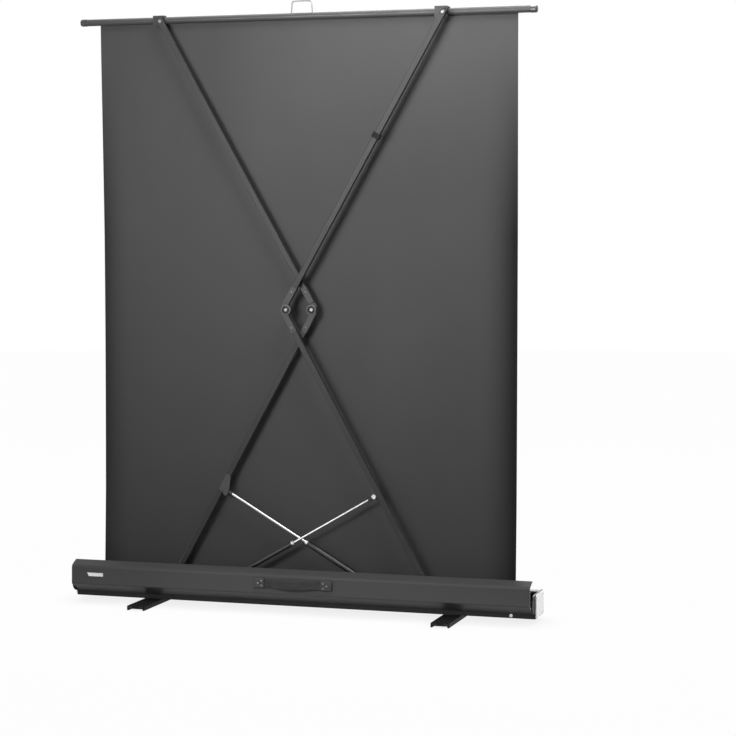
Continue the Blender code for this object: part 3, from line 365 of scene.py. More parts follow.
def pick_edges(piece, test):
    """Go to edit mode with only the edges selected whose two ends pass the test."""
    bpy.ops.object.mode_set(mode="EDIT")
    bpy.ops.mesh.select_mode(type="EDGE")
    bpy.ops.mesh.select_all(action="DESELECT")
    work = bmesh.from_edit_mesh(piece.data)
    for edge in work.edges:
        edge.select_set(all(test(vert.co) for vert in edge.verts))
    bmesh.update_edit_mesh(piece.data)


def leave():
    bpy.ops.object.mode_set(mode="OBJECT")


def only(piece):
    bpy.ops.object.select_all(action="DESELECT")
    piece.select_set(True)
    bpy.context.view_layer.objects.active = piece


def settle(piece):
    """Put the piece's place, turn and scale into its mesh."""
    only(piece)
    bpy.ops.object.transform_apply(location=True, rotation=True, scale=True)


def apply(piece, kind, **settings):
    only(piece)
    modifier = piece.modifiers.new(kind.lower(), kind)
    for key, value in settings.items():
        setattr(modifier, key, value)
    bpy.ops.object.modifier_apply(modifier=modifier.name)


def set_down(piece, place, direction):
    """Stand the piece with its own Z along a direction, at a place."""
    piece.rotation_mode = "QUATERNION"
    piece.rotation_quaternion = Vector(direction).to_track_quat("Z", "Y")
    piece.location = place
    settle(piece)
    piece.rotation_mode = "XYZ"
    return piece


def copy_to(model, name, place, direction):
    twin = model.copy()
    twin.data = model.data.copy()
    twin.name = name
    twin.data.name = name
    bpy.context.scene.collection.objects.link(twin)
    return set_down(twin, place, direction)


def discard(piece):
    bpy.data.objects.remove(piece)


def dress(piece, body, slot, *materials):
    piece.data.materials.clear()
    for material in materials:
        piece.data.materials.append(material)
    only(piece)
    bpy.ops.object.shade_smooth_by_angle(angle=SMOOTH_ANGLE)
    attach(piece, body)


# Places on the solids

def middle(name):
    low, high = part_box(name)
    return (low + high) / 2


def far_pin(side, part):
    """Middle of the pin at an arm's end away from the elbow."""
    return middle(f"{side}_arm_pin" if part == "lower" else f"{side}_top_pin")


def arm_line(side, part):
    """Direction of an arm from its far pin towards the elbow."""
    line = middle(f"{side}_{part}_arm") - far_pin(side, part)
    line.y = 0.0
    return line.normalized()


def on_arm(side, part, back):
    """Point on an arm's middle line, a distance short of its elbow's pin, on the fitting's back face."""
    far = far_pin(side, part)
    line = arm_line(side, part)
    reach = (middle(f"{side}_elbow_pin") - far).dot(line) - back
    point = far + line * reach
    point.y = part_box(f"{side}_{part}_elbow")[1].y
    return point


# Material nodes

def begin(name, specular, metallic=0.0):
    """A new material, its node tree and its shader."""
    material = bpy.data.materials.new(name)
    material.use_nodes = True
    tree = material.node_tree
    shader = tree.nodes["Principled BSDF"]
    shader.inputs["Metallic"].default_value = metallic
    shader.inputs["Specular IOR Level"].default_value = specular
    return material, tree, shader


def node(tree, kind, links=(), **sockets):
    """Add a node, set its input sockets by name and link the given ones."""
    made = tree.nodes.new(kind)
    for key, value in sockets.items():
        made.inputs[key.replace("_", " ")].default_value = value
    for key, source in dict(links).items():
        tree.links.new(source, made.inputs[key])
    return made


def spots(tree, scale, stretch=(1, 1, 1), turn=0.0, detail=3.0):
    """Noise in the piece's own coordinates, drawn out by a stretch after a turn about Y."""
    where = tree.nodes.new("ShaderNodeTexCoord")
    turned = node(tree, "ShaderNodeMapping", {"Vector": where.outputs["Object"]}, Rotation=(0, turn, 0))
    drawn = node(tree, "ShaderNodeMapping", {"Vector": turned.outputs["Vector"]}, Scale=stretch)
    noise = node(tree, "ShaderNodeTexNoise", {"Vector": drawn.outputs["Vector"]}, Scale=scale, Detail=detail)
    return noise.outputs["Fac"]


def span(tree, factor, low, high, first=NOISE_LOW, last=NOISE_HIGH):
    """Map a factor from first..last to low..high."""
    made = node(tree, "ShaderNodeMapRange", {"Value": factor}, From_Min=first, From_Max=last, To_Min=low,
                To_Max=high)
    return made.outputs["Result"]


def mixed(tree, factor, blend="MIX"):
    """A colour mix by a linked factor or a share: its two colour inputs and its outcome."""
    mix = tree.nodes.new("ShaderNodeMix")
    mix.data_type = "RGBA"
    mix.blend_type = blend
    if isinstance(factor, float):
        mix.inputs[0].default_value = factor
    else:
        tree.links.new(factor, mix.inputs[0])
    sockets = [socket for socket in mix.inputs if socket.type == "RGBA"]
    return sockets, [socket for socket in mix.outputs if socket.type == "RGBA"][0]


def maths(tree, operation, first, second=0.0):
    """Outcome of a sum on a linked value and a number or a second linked value."""
    made = tree.nodes.new("ShaderNodeMath")
    made.operation = operation
    tree.links.new(first, made.inputs[0])
    if isinstance(second, float):
        made.inputs[1].default_value = second
    else:
        tree.links.new(second, made.inputs[1])
    return made.outputs["Value"]


def from_middle(tree, value, centre):
    """Distance of a value from its middle."""
    return maths(tree, "ABSOLUTE", maths(tree, "SUBTRACT", value, centre))


def edge_share(tree, value, centre, reach):
    """1 where a value lies further than a reach from its middle, else 0."""
    return maths(tree, "GREATER_THAN", from_middle(tree, value, centre), reach)


def tint(tree, factor, dark, light):
    """Mix two colours by a factor."""
    sockets, shown = mixed(tree, factor)
    sockets[0].default_value = (*dark, 1)
    sockets[1].default_value = (*light, 1)
    return shown


def relief(tree, shader, height, depth, strength=0.5):
    bump = node(tree, "ShaderNodeBump", {"Height": height}, Strength=strength, Distance=depth)
    tree.links.new(bump.outputs["Normal"], shader.inputs["Normal"])


def shade(tone, share):
    return tuple(channel * share for channel in tone)


def use(name):
    """A finish that the finishes' operator has made."""
    return bpy.data.materials[name]


def coat(name, material):
    """Give a solid one finish."""
    NODES[name].data.materials.clear()
    NODES[name].data.materials.append(material)


# Finishes of the rigid pieces

def grained(name, tone, roughness, metallic=0.0, specular=0.5, drift=0.1, drift_scale=12.0, grain=700.0,
            stretch=(1, 1, 1), turn=0.0, depth=0.00006, uneven=0.08):
    """A finish with slow drift in its colour and a fine grain in its gloss and surface."""
    material, tree, shader = begin(name, specular, metallic)
    slow = spots(tree, drift_scale, stretch, turn)
    fine = spots(tree, grain, stretch, turn, detail=2.0)
    shown = tint(tree, span(tree, slow, 0.0, 1.0), shade(tone, 1 - drift), shade(tone, 1 + drift))
    tree.links.new(shown, shader.inputs["Base Color"])
    gloss = span(tree, fine, roughness - uneven, roughness + uneven)
    tree.links.new(gloss, shader.inputs["Roughness"])
    relief(tree, shader, fine, depth)
    return material


def cut_shell(tone, sawn_tone):
    """Coated extrusion whose sawn ends show bare metal, by the distance from the middle of the case."""
    low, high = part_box("case_back_shell")
    material = grained("shell_coat", tone, 0.46, **COATED)
    tree = material.node_tree
    shader = tree.nodes["Principled BSDF"]
    where = tree.nodes.new("ShaderNodeTexCoord")
    parts = node(tree, "ShaderNodeSeparateXYZ", {"Vector": where.outputs["Object"]})
    sawn = edge_share(tree, parts.outputs["X"], (low.x + high.x) / 2, (high.x - low.x) / 2 - SAWN_DEPTH)
    coated = shader.inputs["Base Color"].links[0].from_socket
    sockets, shown = mixed(tree, sawn)
    tree.links.new(coated, sockets[0])
    sockets[1].default_value = (*sawn_tone, 1)
    tree.links.new(shown, shader.inputs["Base Color"])


def ground_rod(side, steel, black):
    """Bright ground rod whose end eye is black, told apart by the distance from the eye's middle."""
    material, tree, shader = begin(f"{side}_ground_rod", specular=0.5)
    where = tree.nodes.new("ShaderNodeTexCoord")
    eye = tree.nodes.new("ShaderNodeVectorMath")
    eye.operation = "DISTANCE"
    eye.inputs[1].default_value = middle(f"{side}_spring_pin")
    tree.links.new(where.outputs["Object"], eye.inputs[0])
    bare = span(tree, eye.outputs["Value"], 0.0, 1.0, EYE_REACH - EYE_BLUR, EYE_REACH + EYE_BLUR)
    fine = spots(tree, scale=900.0)
    streaks = tint(tree, span(tree, fine, 0.0, 1.0), *(shade(steel, share) for share in ROD_STREAKS))
    sockets, shown = mixed(tree, bare)
    sockets[0].default_value = (*black, 1)
    tree.links.new(streaks, sockets[1])
    tree.links.new(shown, shader.inputs["Base Color"])
    tree.links.new(bare, shader.inputs["Metallic"])
    tree.links.new(span(tree, bare, EYE_ROUGHNESS, ROD_ROUGHNESS, 0.0, 1.0), shader.inputs["Roughness"])
    relief(tree, shader, fine, depth=0.00003)
    return material


def arm_finish(side, part, tone):
    """Anodised tube with its grain along the arm."""
    line = arm_line(side, part)
    return grained(f"{side}_{part}_arm_anodised", tone, 0.42, specular=0.10, drift=0.07, drift_scale=9.0,
                   stretch=DRAWN, turn=math.atan2(line.z, line.x))


def make_finishes(scene):
    """Every finish that a solid or a small fitting takes by its name."""
    tone = scene.screen_finish
    cut_shell(tone.case, tone.sawn)
    grained("case_coat", tone.base, 0.46, **COATED)
    grained("end_cap_moulding", tone.moulded, 0.5, specular=0.16, drift=0.2, depth=0.00008, **MOULDED)
    grained("handle_cap", shade(tone.case, 0.75), 0.48, specular=0.2, drift=0.15, **MOULDED)
    grained("end_plate_moulding", tone.pale, 0.45, specular=0.3, drift=0.03, **MOULDED)
    grained("strap_rubber", scene.screen_handle.rubber, 0.68, specular=0.16, depth=0.0001, **RUBBERY)
    grained("bumper_rubber", shade(tone.moulded, 0.8), 0.65, specular=0.14, **RUBBERY)
    grained("zinc_plate", tone.zinc, 0.40, metallic=1.0, drift=0.12, drift_scale=60.0, grain=500.0)
    grained("pin_steel", tone.steel, 0.40, metallic=1.0, drift=0.06, drift_scale=40.0, grain=800.0, uneven=0.06)
    grained("roller_tube", tone.roller, 0.36, metallic=1.0, drift=0.05, drift_scale=8.0, grain=500.0,
            stretch=DRAWN)
    grained("bar_anodised", tone.bar, 0.42, specular=0.26, drift=0.06, drift_scale=8.0, stretch=DRAWN)
    grained("foot_coat", shade(tone.base, 0.5), 0.5, specular=0.06, drift=0.12, grain=900.0)
    grained("spring_paint", shade(tone.base, 0.7), 0.28, specular=0.4)
    grained("elbow_casting", tone.elbow, 0.5, specular=0.2, drift=0.08, depth=0.0001, **CAST)
    grained("bracket_casting", shade(tone.arm, 0.9), 0.45, specular=0.18, drift=0.12, **CAST)
    grained("bar_cap", shade(tone.bar, 0.6), 0.26, specular=0.6, **MOULDED)
    grained("dull_steel", tone.dull, 0.45, **BARE_STEEL)
    grained("elbow_rim", shade(tone.elbow, 1.25), 0.42, specular=0.25, drift=0.08, **CAST)
    grained("foot_plug", shade(tone.base, 1.2), 0.5, specular=0.1, drift=0.15, drift_scale=30.0, grain=1200.0)
    # Painted light: the spring tabs take the arms' tone made 1.5 times lighter, so that they read as lit
    grained("tab_paint", shade(tone.arm, 1.5), 0.46, specular=0.2, **CAST)
    grained("pull_wire", tone.wire, 0.34, drift=0.08, **BARE_STEEL)


class SCREEN_OT_finishes(bpy.types.Operator):
    """Give every solid of the screen its finish"""

    bl_idname = "screen_dress.finishes"
    bl_label = "Finishes"

    def execute(self, context):
        make_finishes(context.scene)
        for finish, names in NODE_FINISH.items():
            for name in names:
                coat(name, use(finish))
        tone = context.scene.screen_finish
        for side in SIDES:
            coat(f"{side}_spring_rod", ground_rod(side, tone.steel, tone.moulded))
            for part in ARM_PARTS:
                coat(f"{side}_{part}_arm", arm_finish(side, part, tone.arm))
        return {"FINISHED"}


# Projection fabric

def threads(tree, pitch, size):
    """Height of a plain weave over the cloth's UV map in metres, and that map."""
    where = tree.nodes.new("ShaderNodeTexCoord")
    cloth = node(tree, "ShaderNodeMapping", {"Vector": where.outputs["UV"]}, Scale=(*size, 1.0))
    heights = []
    for direction in ("X", "Y"):
        # The bands of a wave texture lie pi / (10 * scale) apart
        wave = node(tree, "ShaderNodeTexWave", {"Vector": cloth.outputs["Vector"]}, Distortion=0.6,
                    Detail=1.0, Scale=math.pi / (10 * pitch))
        wave.bands_direction = direction
        heights.append(wave.outputs["Fac"])
    return maths(tree, "MULTIPLY", *heights), cloth.outputs["Vector"]


def cloth_drift(tree, cloth):
    """Slow noise over the cloth, drawn out up its height."""
    drawn = node(tree, "ShaderNodeMapping", {"Vector": cloth}, Scale=(1.0, 0.35, 1.0))
    noise = node(tree, "ShaderNodeTexNoise", {"Vector": drawn.outputs["Vector"]}, Scale=3.0, Detail=4.0)
    return noise.outputs["Fac"]


def screen_back(look, size):
    """Dark woven backing with painted shade towards its side edges, standing in for the shade of the curled
    edges, less so near the bar.
    """
    material, tree, shader = begin("screen_back", specular=0.08)
    weave, cloth = threads(tree, look.weave, size)
    drift = cloth_drift(tree, cloth)
    base = tint(tree, span(tree, drift, 0.0, 1.0), shade(look.back, 1 - BACK_DRIFT),
                shade(look.back, 1 + BACK_DRIFT))
    sockets, shown = mixed(tree, WEAVE_SHADE, "MULTIPLY")
    tree.links.new(base, sockets[0])
    tree.links.new(weave, sockets[1])
    parts = node(tree, "ShaderNodeSeparateXYZ", {"Vector": cloth})
    # Painted shade: towards the side edges the backing is mixed towards the edging's black, standing in for the
    # shade of the curled edges; it fades out near the bar
    outward = from_middle(tree, parts.outputs["X"], size[0] / 2 + look.painted_shade_shift)
    near_side = span(tree, outward, 0.0, 1.0, size[0] / 2 - look.painted_edge_shade, size[0] / 2)
    ramp = maths(tree, "POWER", near_side, PAINTED_SHADE_POWER)
    below = span(tree, parts.outputs["Y"], look.painted_shade_share, 0.0, EDGE_FULL * size[1], EDGE_HELD * size[1])
    shaded_sockets, finished = mixed(tree, maths(tree, "MULTIPLY", ramp, below))
    tree.links.new(shown, shaded_sockets[0])
    shaded_sockets[1].default_value = (*look.edging, 1)
    tree.links.new(finished, shader.inputs["Base Color"])
    tree.links.new(span(tree, weave, *BACK_ROUGHNESS, 0.0, 1.0), shader.inputs["Roughness"])
    relief(tree, shader, weave, depth=0.00012, strength=0.35)
    return material


def screen_front(look, size):
    """Matte white viewing side with its black border and drop."""
    material, tree, shader = begin("screen_front", specular=0.2)
    weave, cloth = threads(tree, look.weave, size)
    parts = node(tree, "ShaderNodeSeparateXYZ", {"Vector": cloth})
    sides = edge_share(tree, parts.outputs["X"], size[0] / 2, size[0] / 2 - look.border)
    low, high = look.drop, size[1] - look.border
    ends = edge_share(tree, parts.outputs["Y"], (low + high) / 2, (high - low) / 2)
    either = maths(tree, "MAXIMUM", sides, ends)
    tree.links.new(tint(tree, either, look.front, look.edging), shader.inputs["Base Color"])
    tree.links.new(span(tree, weave, *FRONT_ROUGHNESS, 0.0, 1.0), shader.inputs["Roughness"])
    relief(tree, shader, weave, depth=0.0001, strength=0.3)
    return material


def hang(cloth, look, size):
    """Crowd the cells towards the sides, and give the sheet its waves, curled edges and slack left edge."""
    half = size[0] / 2
    centre = (FABRIC_LOW.x + FABRIC_HIGH.x) / 2
    for vert in cloth.data.vertices:
        rise = (vert.co.z - FABRIC_LOW.z) / size[1]
        share = (vert.co.x - centre) / half
        across = look.crowd * share - (look.crowd - 1.0) * share ** 3
        slack = math.sin(math.pi * rise)
        near_edge = max(0.0, 1.0 - (1.0 - across) * half / look.edge_zone)
        at_edge = max(0.0, 1.0 - (1.0 - abs(across)) * half / look.curl_zone)
        held = max(0.0, (EDGE_HELD - rise) / (EDGE_HELD - EDGE_FULL))
        freedom = min(1.0, CURL_START * rise, held)
        sway = look.ripple * slack * (1.0 + math.sin(WAVE_TURN * half * across + WAVE_LEAN * rise))
        vert.co.y -= sway + look.curl * freedom * at_edge ** 2
        vert.co.x = centre + half * across - look.edge_bow * slack * near_edge ** 2


def lay_map(cloth, size):
    """Lay the sheet's UV map over its width and height."""
    lay = cloth.data.uv_layers.active.data
    for loop in cloth.data.loops:
        spot = cloth.data.vertices[loop.vertex_index].co
        lay[loop.index].uv = ((spot.x - FABRIC_LOW.x) / size[0], (spot.z - FABRIC_LOW.z) / size[1])


class SCREEN_OT_fabric(bpy.types.Operator):
    """Hang the projection fabric between the roller and the top bar"""

    bl_idname = "screen_dress.fabric"
    bl_label = "Projection Fabric"

    def execute(self, context):
        look = context.scene.screen_fabric
        low, high = FABRIC_LOW, FABRIC_HIGH
        size = (high.x - low.x, high.z - low.z)
        cloth = start("projection_fabric", bpy.ops.mesh.primitive_grid_add, x_subdivisions=look.columns,
                      y_subdivisions=look.rows, size=1.0, location=(low + high) / 2, rotation=UPRIGHT)
        cloth.scale = (size[0], size[1], 1.0)
        settle(cloth)
        hang(cloth, look, size)
        lay_map(cloth, size)
        apply(cloth, "SOLIDIFY", thickness=look.wall, offset=0.0)
        edging = grained("fabric_edging", look.edging, 0.8, specular=0.2, drift=0.2, drift_scale=40.0,
                         grain=1500.0)
        dress(cloth, "case", "screen_fabric", screen_back(look, size), screen_front(look, size), edging)
        for face in cloth.data.polygons:
            if abs(face.normal.y) < SHEET_FACING:
                face.material_index = 2
            else:
                face.material_index = 0 if face.normal.y > 0 else 1
        coat("roller_winding", grained("wound_fabric", look.front, 0.9, specular=0.2, drift=0.03, **MOULDED))
        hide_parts("fabric_sheet")
        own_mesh(cloth)
        return {"FINISHED"}


# Small pieces

class SCREEN_OT_strap(bpy.types.Operator):
    """Bow the carry strap between its two caps, with a ribbed grip"""

    bl_idname = "screen_dress.strap"
    bl_label = "Carry Strap"

    def execute(self, context):
        look = context.scene.screen_handle
        low, high = STRAP_LOW, STRAP_HIGH
        run = high.x - low.x
        width = high.z - low.z
        centre = Vector(((low.x + high.x) / 2, 0, (low.z + high.z) / 2))
        strap = start("carry_strap", bpy.ops.mesh.primitive_grid_add, x_subdivisions=look.columns,
                      y_subdivisions=look.rows, size=1.0, location=centre, rotation=UPRIGHT)
        strap.scale = (run, width, 1.0)
        settle(strap)
        flat_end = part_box("left_handle_cap")[0].x
        seat = low.y + look.wall / 2
        bow = high.y - low.y - look.wall
        for vert in strap.data.vertices:
            share = (vert.co.x + flat_end) / (2 * flat_end)
            rise = bow * math.sin(math.pi * share) ** BOW_POWER if 0.0 < share < 1.0 else 0.0
            vert.co.y = seat + rise
        apply(strap, "SOLIDIFY", thickness=look.wall, offset=0.0, use_even_offset=True)
        cell = run / look.columns
        edge = width / look.rows

        def rib(point, normal):
            inside = abs(point.x) < look.grip / 2 and abs(point.z - centre.z) < width / 2 - edge
            return inside and normal.y > SHEET_FACING and int((point.x - low.x) / cell) % 2 == 0

        pick(strap, rib)
        bpy.ops.mesh.extrude_region_shrink_fatten(TRANSFORM_OT_shrink_fatten={"value": look.rib})
        leave()
        dress(strap, "case", "strap_black", use("strap_rubber"))
        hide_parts("handle_strap")
        return {"FINISHED"}


def crowned_head(name, radius, sides, height, crown):
    """Head of a screw or rivet that steps up to its crown, its seat at the origin."""
    depth = radius * height
    head = start(name, bpy.ops.mesh.primitive_cylinder_add, vertices=sides, radius=radius, depth=depth,
                 location=(0, 0, depth / 2))
    pick(head, lambda point, normal: normal.z > FACING)
    for inset, rise in crown:
        bpy.ops.mesh.inset(thickness=radius * inset)
        bpy.ops.transform.translate(value=(0, 0, radius * rise))
    leave()
    settle(head)
    return head


def cut_cross(head, radius, level, depth):
    """Cut the cross recess into a screw's head."""
    for turn in (0.0, math.pi / 2):
        cutter = start("recess", bpy.ops.mesh.primitive_cube_add, size=1.0, rotation=(0, 0, turn),
                       location=(0, 0, radius * level),
                       scale=(radius * RECESS_LENGTH, radius * RECESS_WIDTH, radius * depth))
        apply(head, "BOOLEAN", object=cutter, operation="DIFFERENCE", solver="EXACT")
        discard(cutter)
    return head


def pan_screw(name, radius):
    return cut_cross(crowned_head(name, radius, SCREW_SIDES, *PAN_HEAD), radius, *PAN_RECESS)


def flat_screw(name, radius):
    return cut_cross(crowned_head(name, radius, SCREW_SIDES, *FLAT_HEAD), radius, *FLAT_RECESS)


def flat_ring(name, outer, inner, thick):
    """Flat ring with a softened top edge, its seat at the origin."""
    ring = start(name, bpy.ops.mesh.primitive_cylinder_add, vertices=RING_SIDES, radius=outer, depth=thick,
                 location=(0, 0, thick / 2))
    settle(ring)
    pick(ring, lambda point, normal: abs(normal.z) > FACING)
    bpy.ops.mesh.inset(thickness=outer - inner)
    bpy.ops.mesh.bridge_edge_loops()
    leave()
    pick_edges(ring, lambda point: point.z > thick * ON_TOP and point.xy.length > (outer + inner) / 2)
    bpy.ops.mesh.bevel(offset=thick * RING_BEVEL, segments=BEVEL_STEPS)
    leave()
    return ring


class SCREEN_OT_case_screws(bpy.types.Operator):
    """Screw the end plates and the handle caps to the case"""

    bl_idname = "screen_dress.case_screws"
    bl_label = "Case Screws"

    def execute(self, context):
        radius = context.scene.screen_fittings.screw
        raised = pan_screw("case_screw", radius)
        flush = flat_screw("plate_screw", radius)
        for side, sign in SIDES.items():
            low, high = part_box(f"{side}_end_plate")
            seat = (high.x if sign > 0 else low.x) - sign * radius * FLUSH_SEAT
            corners = [(y, z) for y in (low.y + SCREW_INSET, high.y - SCREW_INSET)
                       for z in (low.z + SCREW_INSET, high.z - SCREW_INSET)]
            for number, (y, z) in enumerate(corners, 1):
                screw = copy_to(flush, f"{side}_end_screw_{number}", (seat, y, z), (sign, 0, 0))
                dress(screw, "case", "zinc_steel", use("zinc_plate"))
            low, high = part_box(f"{side}_handle_cap")
            centre = (low + high) / 2
            for number, (out, up) in enumerate(CAP_SCREWS, 1):
                place = (centre.x + sign * out, high.y, centre.z + up)
                screw = copy_to(raised, f"{side}_handle_screw_{number}", place, BACKWARDS)
                dress(screw, "case", "zinc_steel", use("dull_steel"))
        discard(flush)
        discard(raised)
        return {"FINISHED"}


class SCREEN_OT_elbow_trim(bpy.types.Operator):
    """Add the elbow fittings' rivets, and the dark washers and raised rims round their pins"""

    bl_idname = "screen_dress.elbow_trim"
    bl_label = "Elbow Trim"

    def execute(self, context):
        look = context.scene.screen_fittings
        model = crowned_head("elbow_rivet", look.rivet, RIVET_SIDES, *RIVET_HEAD)
        for side in SIDES:
            for part in ARM_PARTS:
                place = on_arm(side, part, look.rivet_back)
                rivet = copy_to(model, f"{side}_{part}_rivet", place, BACKWARDS)
                dress(rivet, f"{side}_{part}", "zinc_steel", use("dull_steel"))
            pin_low, pin_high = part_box(f"{side}_elbow_pin")
            hole = (pin_high.x - pin_low.x) / 2 + PIN_CLEARANCE
            place = middle(f"{side}_elbow_pin")
            place.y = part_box(f"{side}_lower_elbow")[1].y
            washer = flat_ring(f"{side}_elbow_washer", look.washer, hole, WASHER_WALL)
            set_down(washer, place, BACKWARDS)
            dress(washer, f"{side}_lower", "moulded_black", use("end_cap_moulding"))
            rim = flat_ring(f"{side}_elbow_rim", look.rim, look.washer + RIM_CLEARANCE, RIM_WALL)
            set_down(rim, place, BACKWARDS)
            dress(rim, f"{side}_lower", "elbow_grey", use("elbow_rim"))
        discard(model)
        return {"FINISHED"}


class SCREEN_OT_bracket_screws(bpy.types.Operator):
    """Screw the top brackets to the bar"""

    bl_idname = "screen_dress.bracket_screws"
    bl_label = "Bracket Screws"

    def execute(self, context):
        model = flat_screw("bracket_screw", context.scene.screen_fittings.screw)
        row = middle("top_bar").y + BRACKET_SCREW_Y
        for side in SIDES:
            centre = middle(f"{side}_top_bracket")
            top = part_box(f"{side}_top_bracket")[1].z
            for number, offset in enumerate((-BRACKET_SCREW_X, BRACKET_SCREW_X), 1):
                place = (centre.x + offset, row, top)
                screw = copy_to(model, f"{side}_bracket_screw_{number}", place, UPWARDS)
                dress(screw, "bar", "zinc_steel", use("zinc_plate"))
        discard(model)
        return {"FINISHED"}


class SCREEN_OT_foot_plugs(bpy.types.Operator):
    """Close the ends of the feet's tunnels with recessed plugs"""

    bl_idname = "screen_dress.foot_plugs"
    bl_label = "Foot Plugs"

    def execute(self, context):
        look = context.scene.screen_fittings
        half = look.plug_depth / 2
        model = start("foot_plug", bpy.ops.mesh.primitive_cube_add, size=1.0, location=(0, 0, -half),
                      scale=(look.plug_width, look.plug_height, look.plug_depth))
        settle(model)
        pick_edges(model, lambda point: point.z > -half)
        bpy.ops.mesh.bevel(offset=PLUG_BEVEL, segments=BEVEL_STEPS)
        leave()
        pick(model, lambda point, normal: normal.z > FACING and point.z > -TOUCH)
        bpy.ops.mesh.inset(thickness=PLUG_RIM)
        bpy.ops.transform.translate(value=(0, 0, -PLUG_DISH))
        leave()
        for side in SIDES:
            low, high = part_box(f"{side}_foot")
            ends = (("back", high.y - PLUG_SET_IN, BACKWARDS), ("front", low.y + PLUG_SET_IN, FORWARDS))
            for end, face, outwards in ends:
                for number, offset in enumerate((-look.plug_place, look.plug_place), 1):
                    place = ((low.x + high.x) / 2 + offset, face, high.z - look.plug_drop)
                    plug = copy_to(model, f"{side}_{end}_plug_{number}", place, outwards)
                    dress(plug, f"{side}_foot", "moulded_black", use("foot_plug"))
        discard(model)
        return {"FINISHED"}


class SCREEN_OT_plate(bpy.types.Operator):
    """Fix the blank silver plate to the back of the case"""

    bl_idname = "screen_dress.plate"
    bl_label = "Blank Plate"

    def execute(self, context):
        look = context.scene.screen_fittings
        thick = PLATE_WALL
        plate = start("blank_plate", bpy.ops.mesh.primitive_cube_add, size=1.0, location=(0, 0, thick / 2),
                      scale=(look.plate_width, look.plate_height, thick))
        settle(plate)
        pick_edges(plate, lambda point: point.x < 0 and point.y < 0)
        bpy.ops.transform.translate(value=(look.plate_slant, 0, 0))
        leave()
        pick_edges(plate, lambda point: point.z > thick * ON_TOP)
        bpy.ops.mesh.bevel(offset=thick * PLATE_BEVEL, segments=BEVEL_STEPS)
        leave()
        pick(plate, lambda point, normal: normal.z > FACING and point.z > thick * ON_TOP)
        bpy.ops.mesh.inset(thickness=PLATE_RIM)
        bpy.ops.transform.translate(value=(0, 0, -thick * PLATE_DISH))
        leave()
        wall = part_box("case_back_shell")[1].y - math.tan(WALL_LEAN) * (PLATE_RISE - WALL_FOOT)
        set_down(plate, (look.plate_place, wall + PLATE_GAP, PLATE_RISE),
                 (0, math.cos(WALL_LEAN), math.sin(WALL_LEAN)))
        silver = grained("plate_silver", look.plate, 0.34, metallic=0.6, drift=0.04, drift_scale=30.0,
                         grain=600.0, stretch=(0.05, 1, 1))
        dress(plate, "case", "moulded_pale", silver)
        return {"FINISHED"}


# Stage

def photo_camera(scene, look):
    lens = bpy.data.cameras.new("photo_camera")
    lens.lens = look.lens
    camera = bpy.data.objects.new("photo_camera", lens)
    camera.location = look.place
    camera.rotation_euler = (math.pi / 2 - look.pitch, 0, math.pi + look.yaw)
    scene.collection.objects.link(camera)
    scene.camera = camera


def area_light(name, strength, place, target, size, spread):
    lamp = bpy.data.lights.new(name, "AREA")
    lamp.energy = strength
    lamp.shape = "RECTANGLE"
    lamp.size, lamp.size_y = size
    lamp.spread = math.radians(spread)
    holder = bpy.data.objects.new(name, lamp)
    holder.location = place
    holder.rotation_euler = (Vector(target) - Vector(place)).to_track_quat("-Z", "Y").to_euler()
    holder.visible_camera = False
    bpy.context.scene.collection.objects.link(holder)


def seen_rays(tree):
    """1 for rays that show the background: straight, mirrored or through glass."""
    path = tree.nodes.new("ShaderNodeLightPath")
    total = path.outputs["Is Camera Ray"]
    for kind in ("Is Glossy Ray", "Is Transmission Ray"):
        total = maths(tree, "MAXIMUM", total, path.outputs[kind])
    return total


def white_world(scene, sky):
    """World that looks plain white and gives only a little even light."""
    world = bpy.data.worlds.new("studio")
    scene.world = world
    world.use_nodes = True
    tree = world.node_tree
    back = tree.nodes["Background"]
    back.inputs["Color"].default_value = WHITE
    tree.links.new(span(tree, seen_rays(tree), sky, 1.0, 0.0, 1.0), back.inputs["Strength"])


def pale_floor(tone):
    """Matte floor that looks plain white, apart from a painted contact shadow under the object, where ambient
    occlusion darkens its glow.
    """
    floor = start("floor", bpy.ops.mesh.primitive_circle_add, vertices=FLOOR_SIDES, radius=FLOOR_RADIUS,
                  fill_type="NGON")
    material, tree, shader = begin("floor", specular=0.0)
    shader.inputs["Roughness"].default_value = FLOOR_ROUGHNESS
    shader.inputs["Base Color"].default_value = (*tone, 1)
    contact = node(tree, "ShaderNodeAmbientOcclusion", Distance=CONTACT_REACH)
    # Painted shadow: the glow darkens where ambient occlusion finds the object close by
    painted_contact_shadow = span(tree, contact.outputs["AO"], CONTACT_SHADE, 1.0, 0.0, 1.0)
    glow = node(tree, "ShaderNodeEmission", {"Strength": painted_contact_shadow}, Color=WHITE)
    share = maths(tree, "MULTIPLY", seen_rays(tree), FLOOR_GLOW)
    mix = node(tree, "ShaderNodeMixShader", {0: share, 1: shader.outputs["BSDF"], 2: glow.outputs["Emission"]})
    tree.links.new(mix.outputs["Shader"], tree.nodes["Material Output"].inputs["Surface"])
    floor.data.materials.append(material)
    return floor


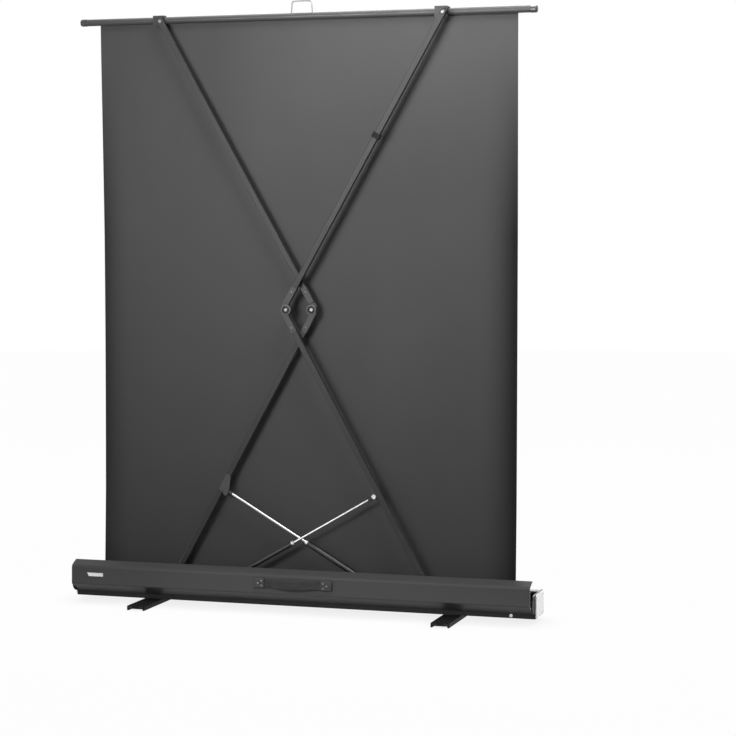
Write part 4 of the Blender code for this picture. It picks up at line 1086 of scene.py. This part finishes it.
class SCREEN_OT_stage(bpy.types.Operator):
    """Set the camera, the soft lights, the pale floor and the white background"""

    bl_idname = "screen_dress.stage"
    bl_label = "Stage"

    def execute(self, context):
        scene = context.scene
        look = scene.screen_stage
        scene.view_settings.view_transform = "Standard"
        photo_camera(scene, look)
        for name, (strength, *aim) in LIGHTS.items():
            area_light(name, getattr(look, strength), *aim)
        white_world(scene, look.sky)
        floor = pale_floor(look.floor)
        return {"FINISHED"}


class SCREEN_PT_dress(bpy.types.Panel):
    """The steps that dress the screen, in their order"""

    bl_idname = "SCREEN_PT_dress"
    bl_label = "Projection Screen"
    bl_space_type = "VIEW_3D"
    bl_region_type = "UI"
    bl_category = "Screen"

    def draw(self, context):
        for step in STEPS:
            self.layout.operator(step.bl_idname)


GROUPS = {"screen_fabric": SCREEN_PG_fabric, "screen_handle": SCREEN_PG_handle,
          "screen_fittings": SCREEN_PG_fittings, "screen_finish": SCREEN_PG_finish,
          "screen_stage": SCREEN_PG_stage}
STEPS = (SCREEN_OT_stage, SCREEN_OT_finishes, SCREEN_OT_fabric, SCREEN_OT_strap, SCREEN_OT_case_screws,
         SCREEN_OT_elbow_trim, SCREEN_OT_bracket_screws, SCREEN_OT_foot_plugs, SCREEN_OT_plate)


def register():
    for group in GROUPS.values():
        bpy.utils.register_class(group)
    for key, group in GROUPS.items():
        setattr(bpy.types.Scene, key, PointerProperty(type=group))
    for step in STEPS:
        bpy.utils.register_class(step)
    bpy.utils.register_class(SCREEN_PT_dress)


def unregister():
    bpy.utils.unregister_class(SCREEN_PT_dress)
    for step in reversed(STEPS):
        bpy.utils.unregister_class(step)
    for key, group in GROUPS.items():
        delattr(bpy.types.Scene, key)
        bpy.utils.unregister_class(group)


def main():
    register()
    bpy.ops.screen_dress.stage()
    bpy.ops.screen_dress.finishes()
    bpy.ops.screen_dress.fabric()
    bpy.ops.screen_dress.strap()
    bpy.ops.screen_dress.case_screws()
    bpy.ops.screen_dress.elbow_trim()
    bpy.ops.screen_dress.bracket_screws()
    bpy.ops.screen_dress.foot_plugs()
    bpy.ops.screen_dress.plate()


if __name__ == "__main__":
    main()
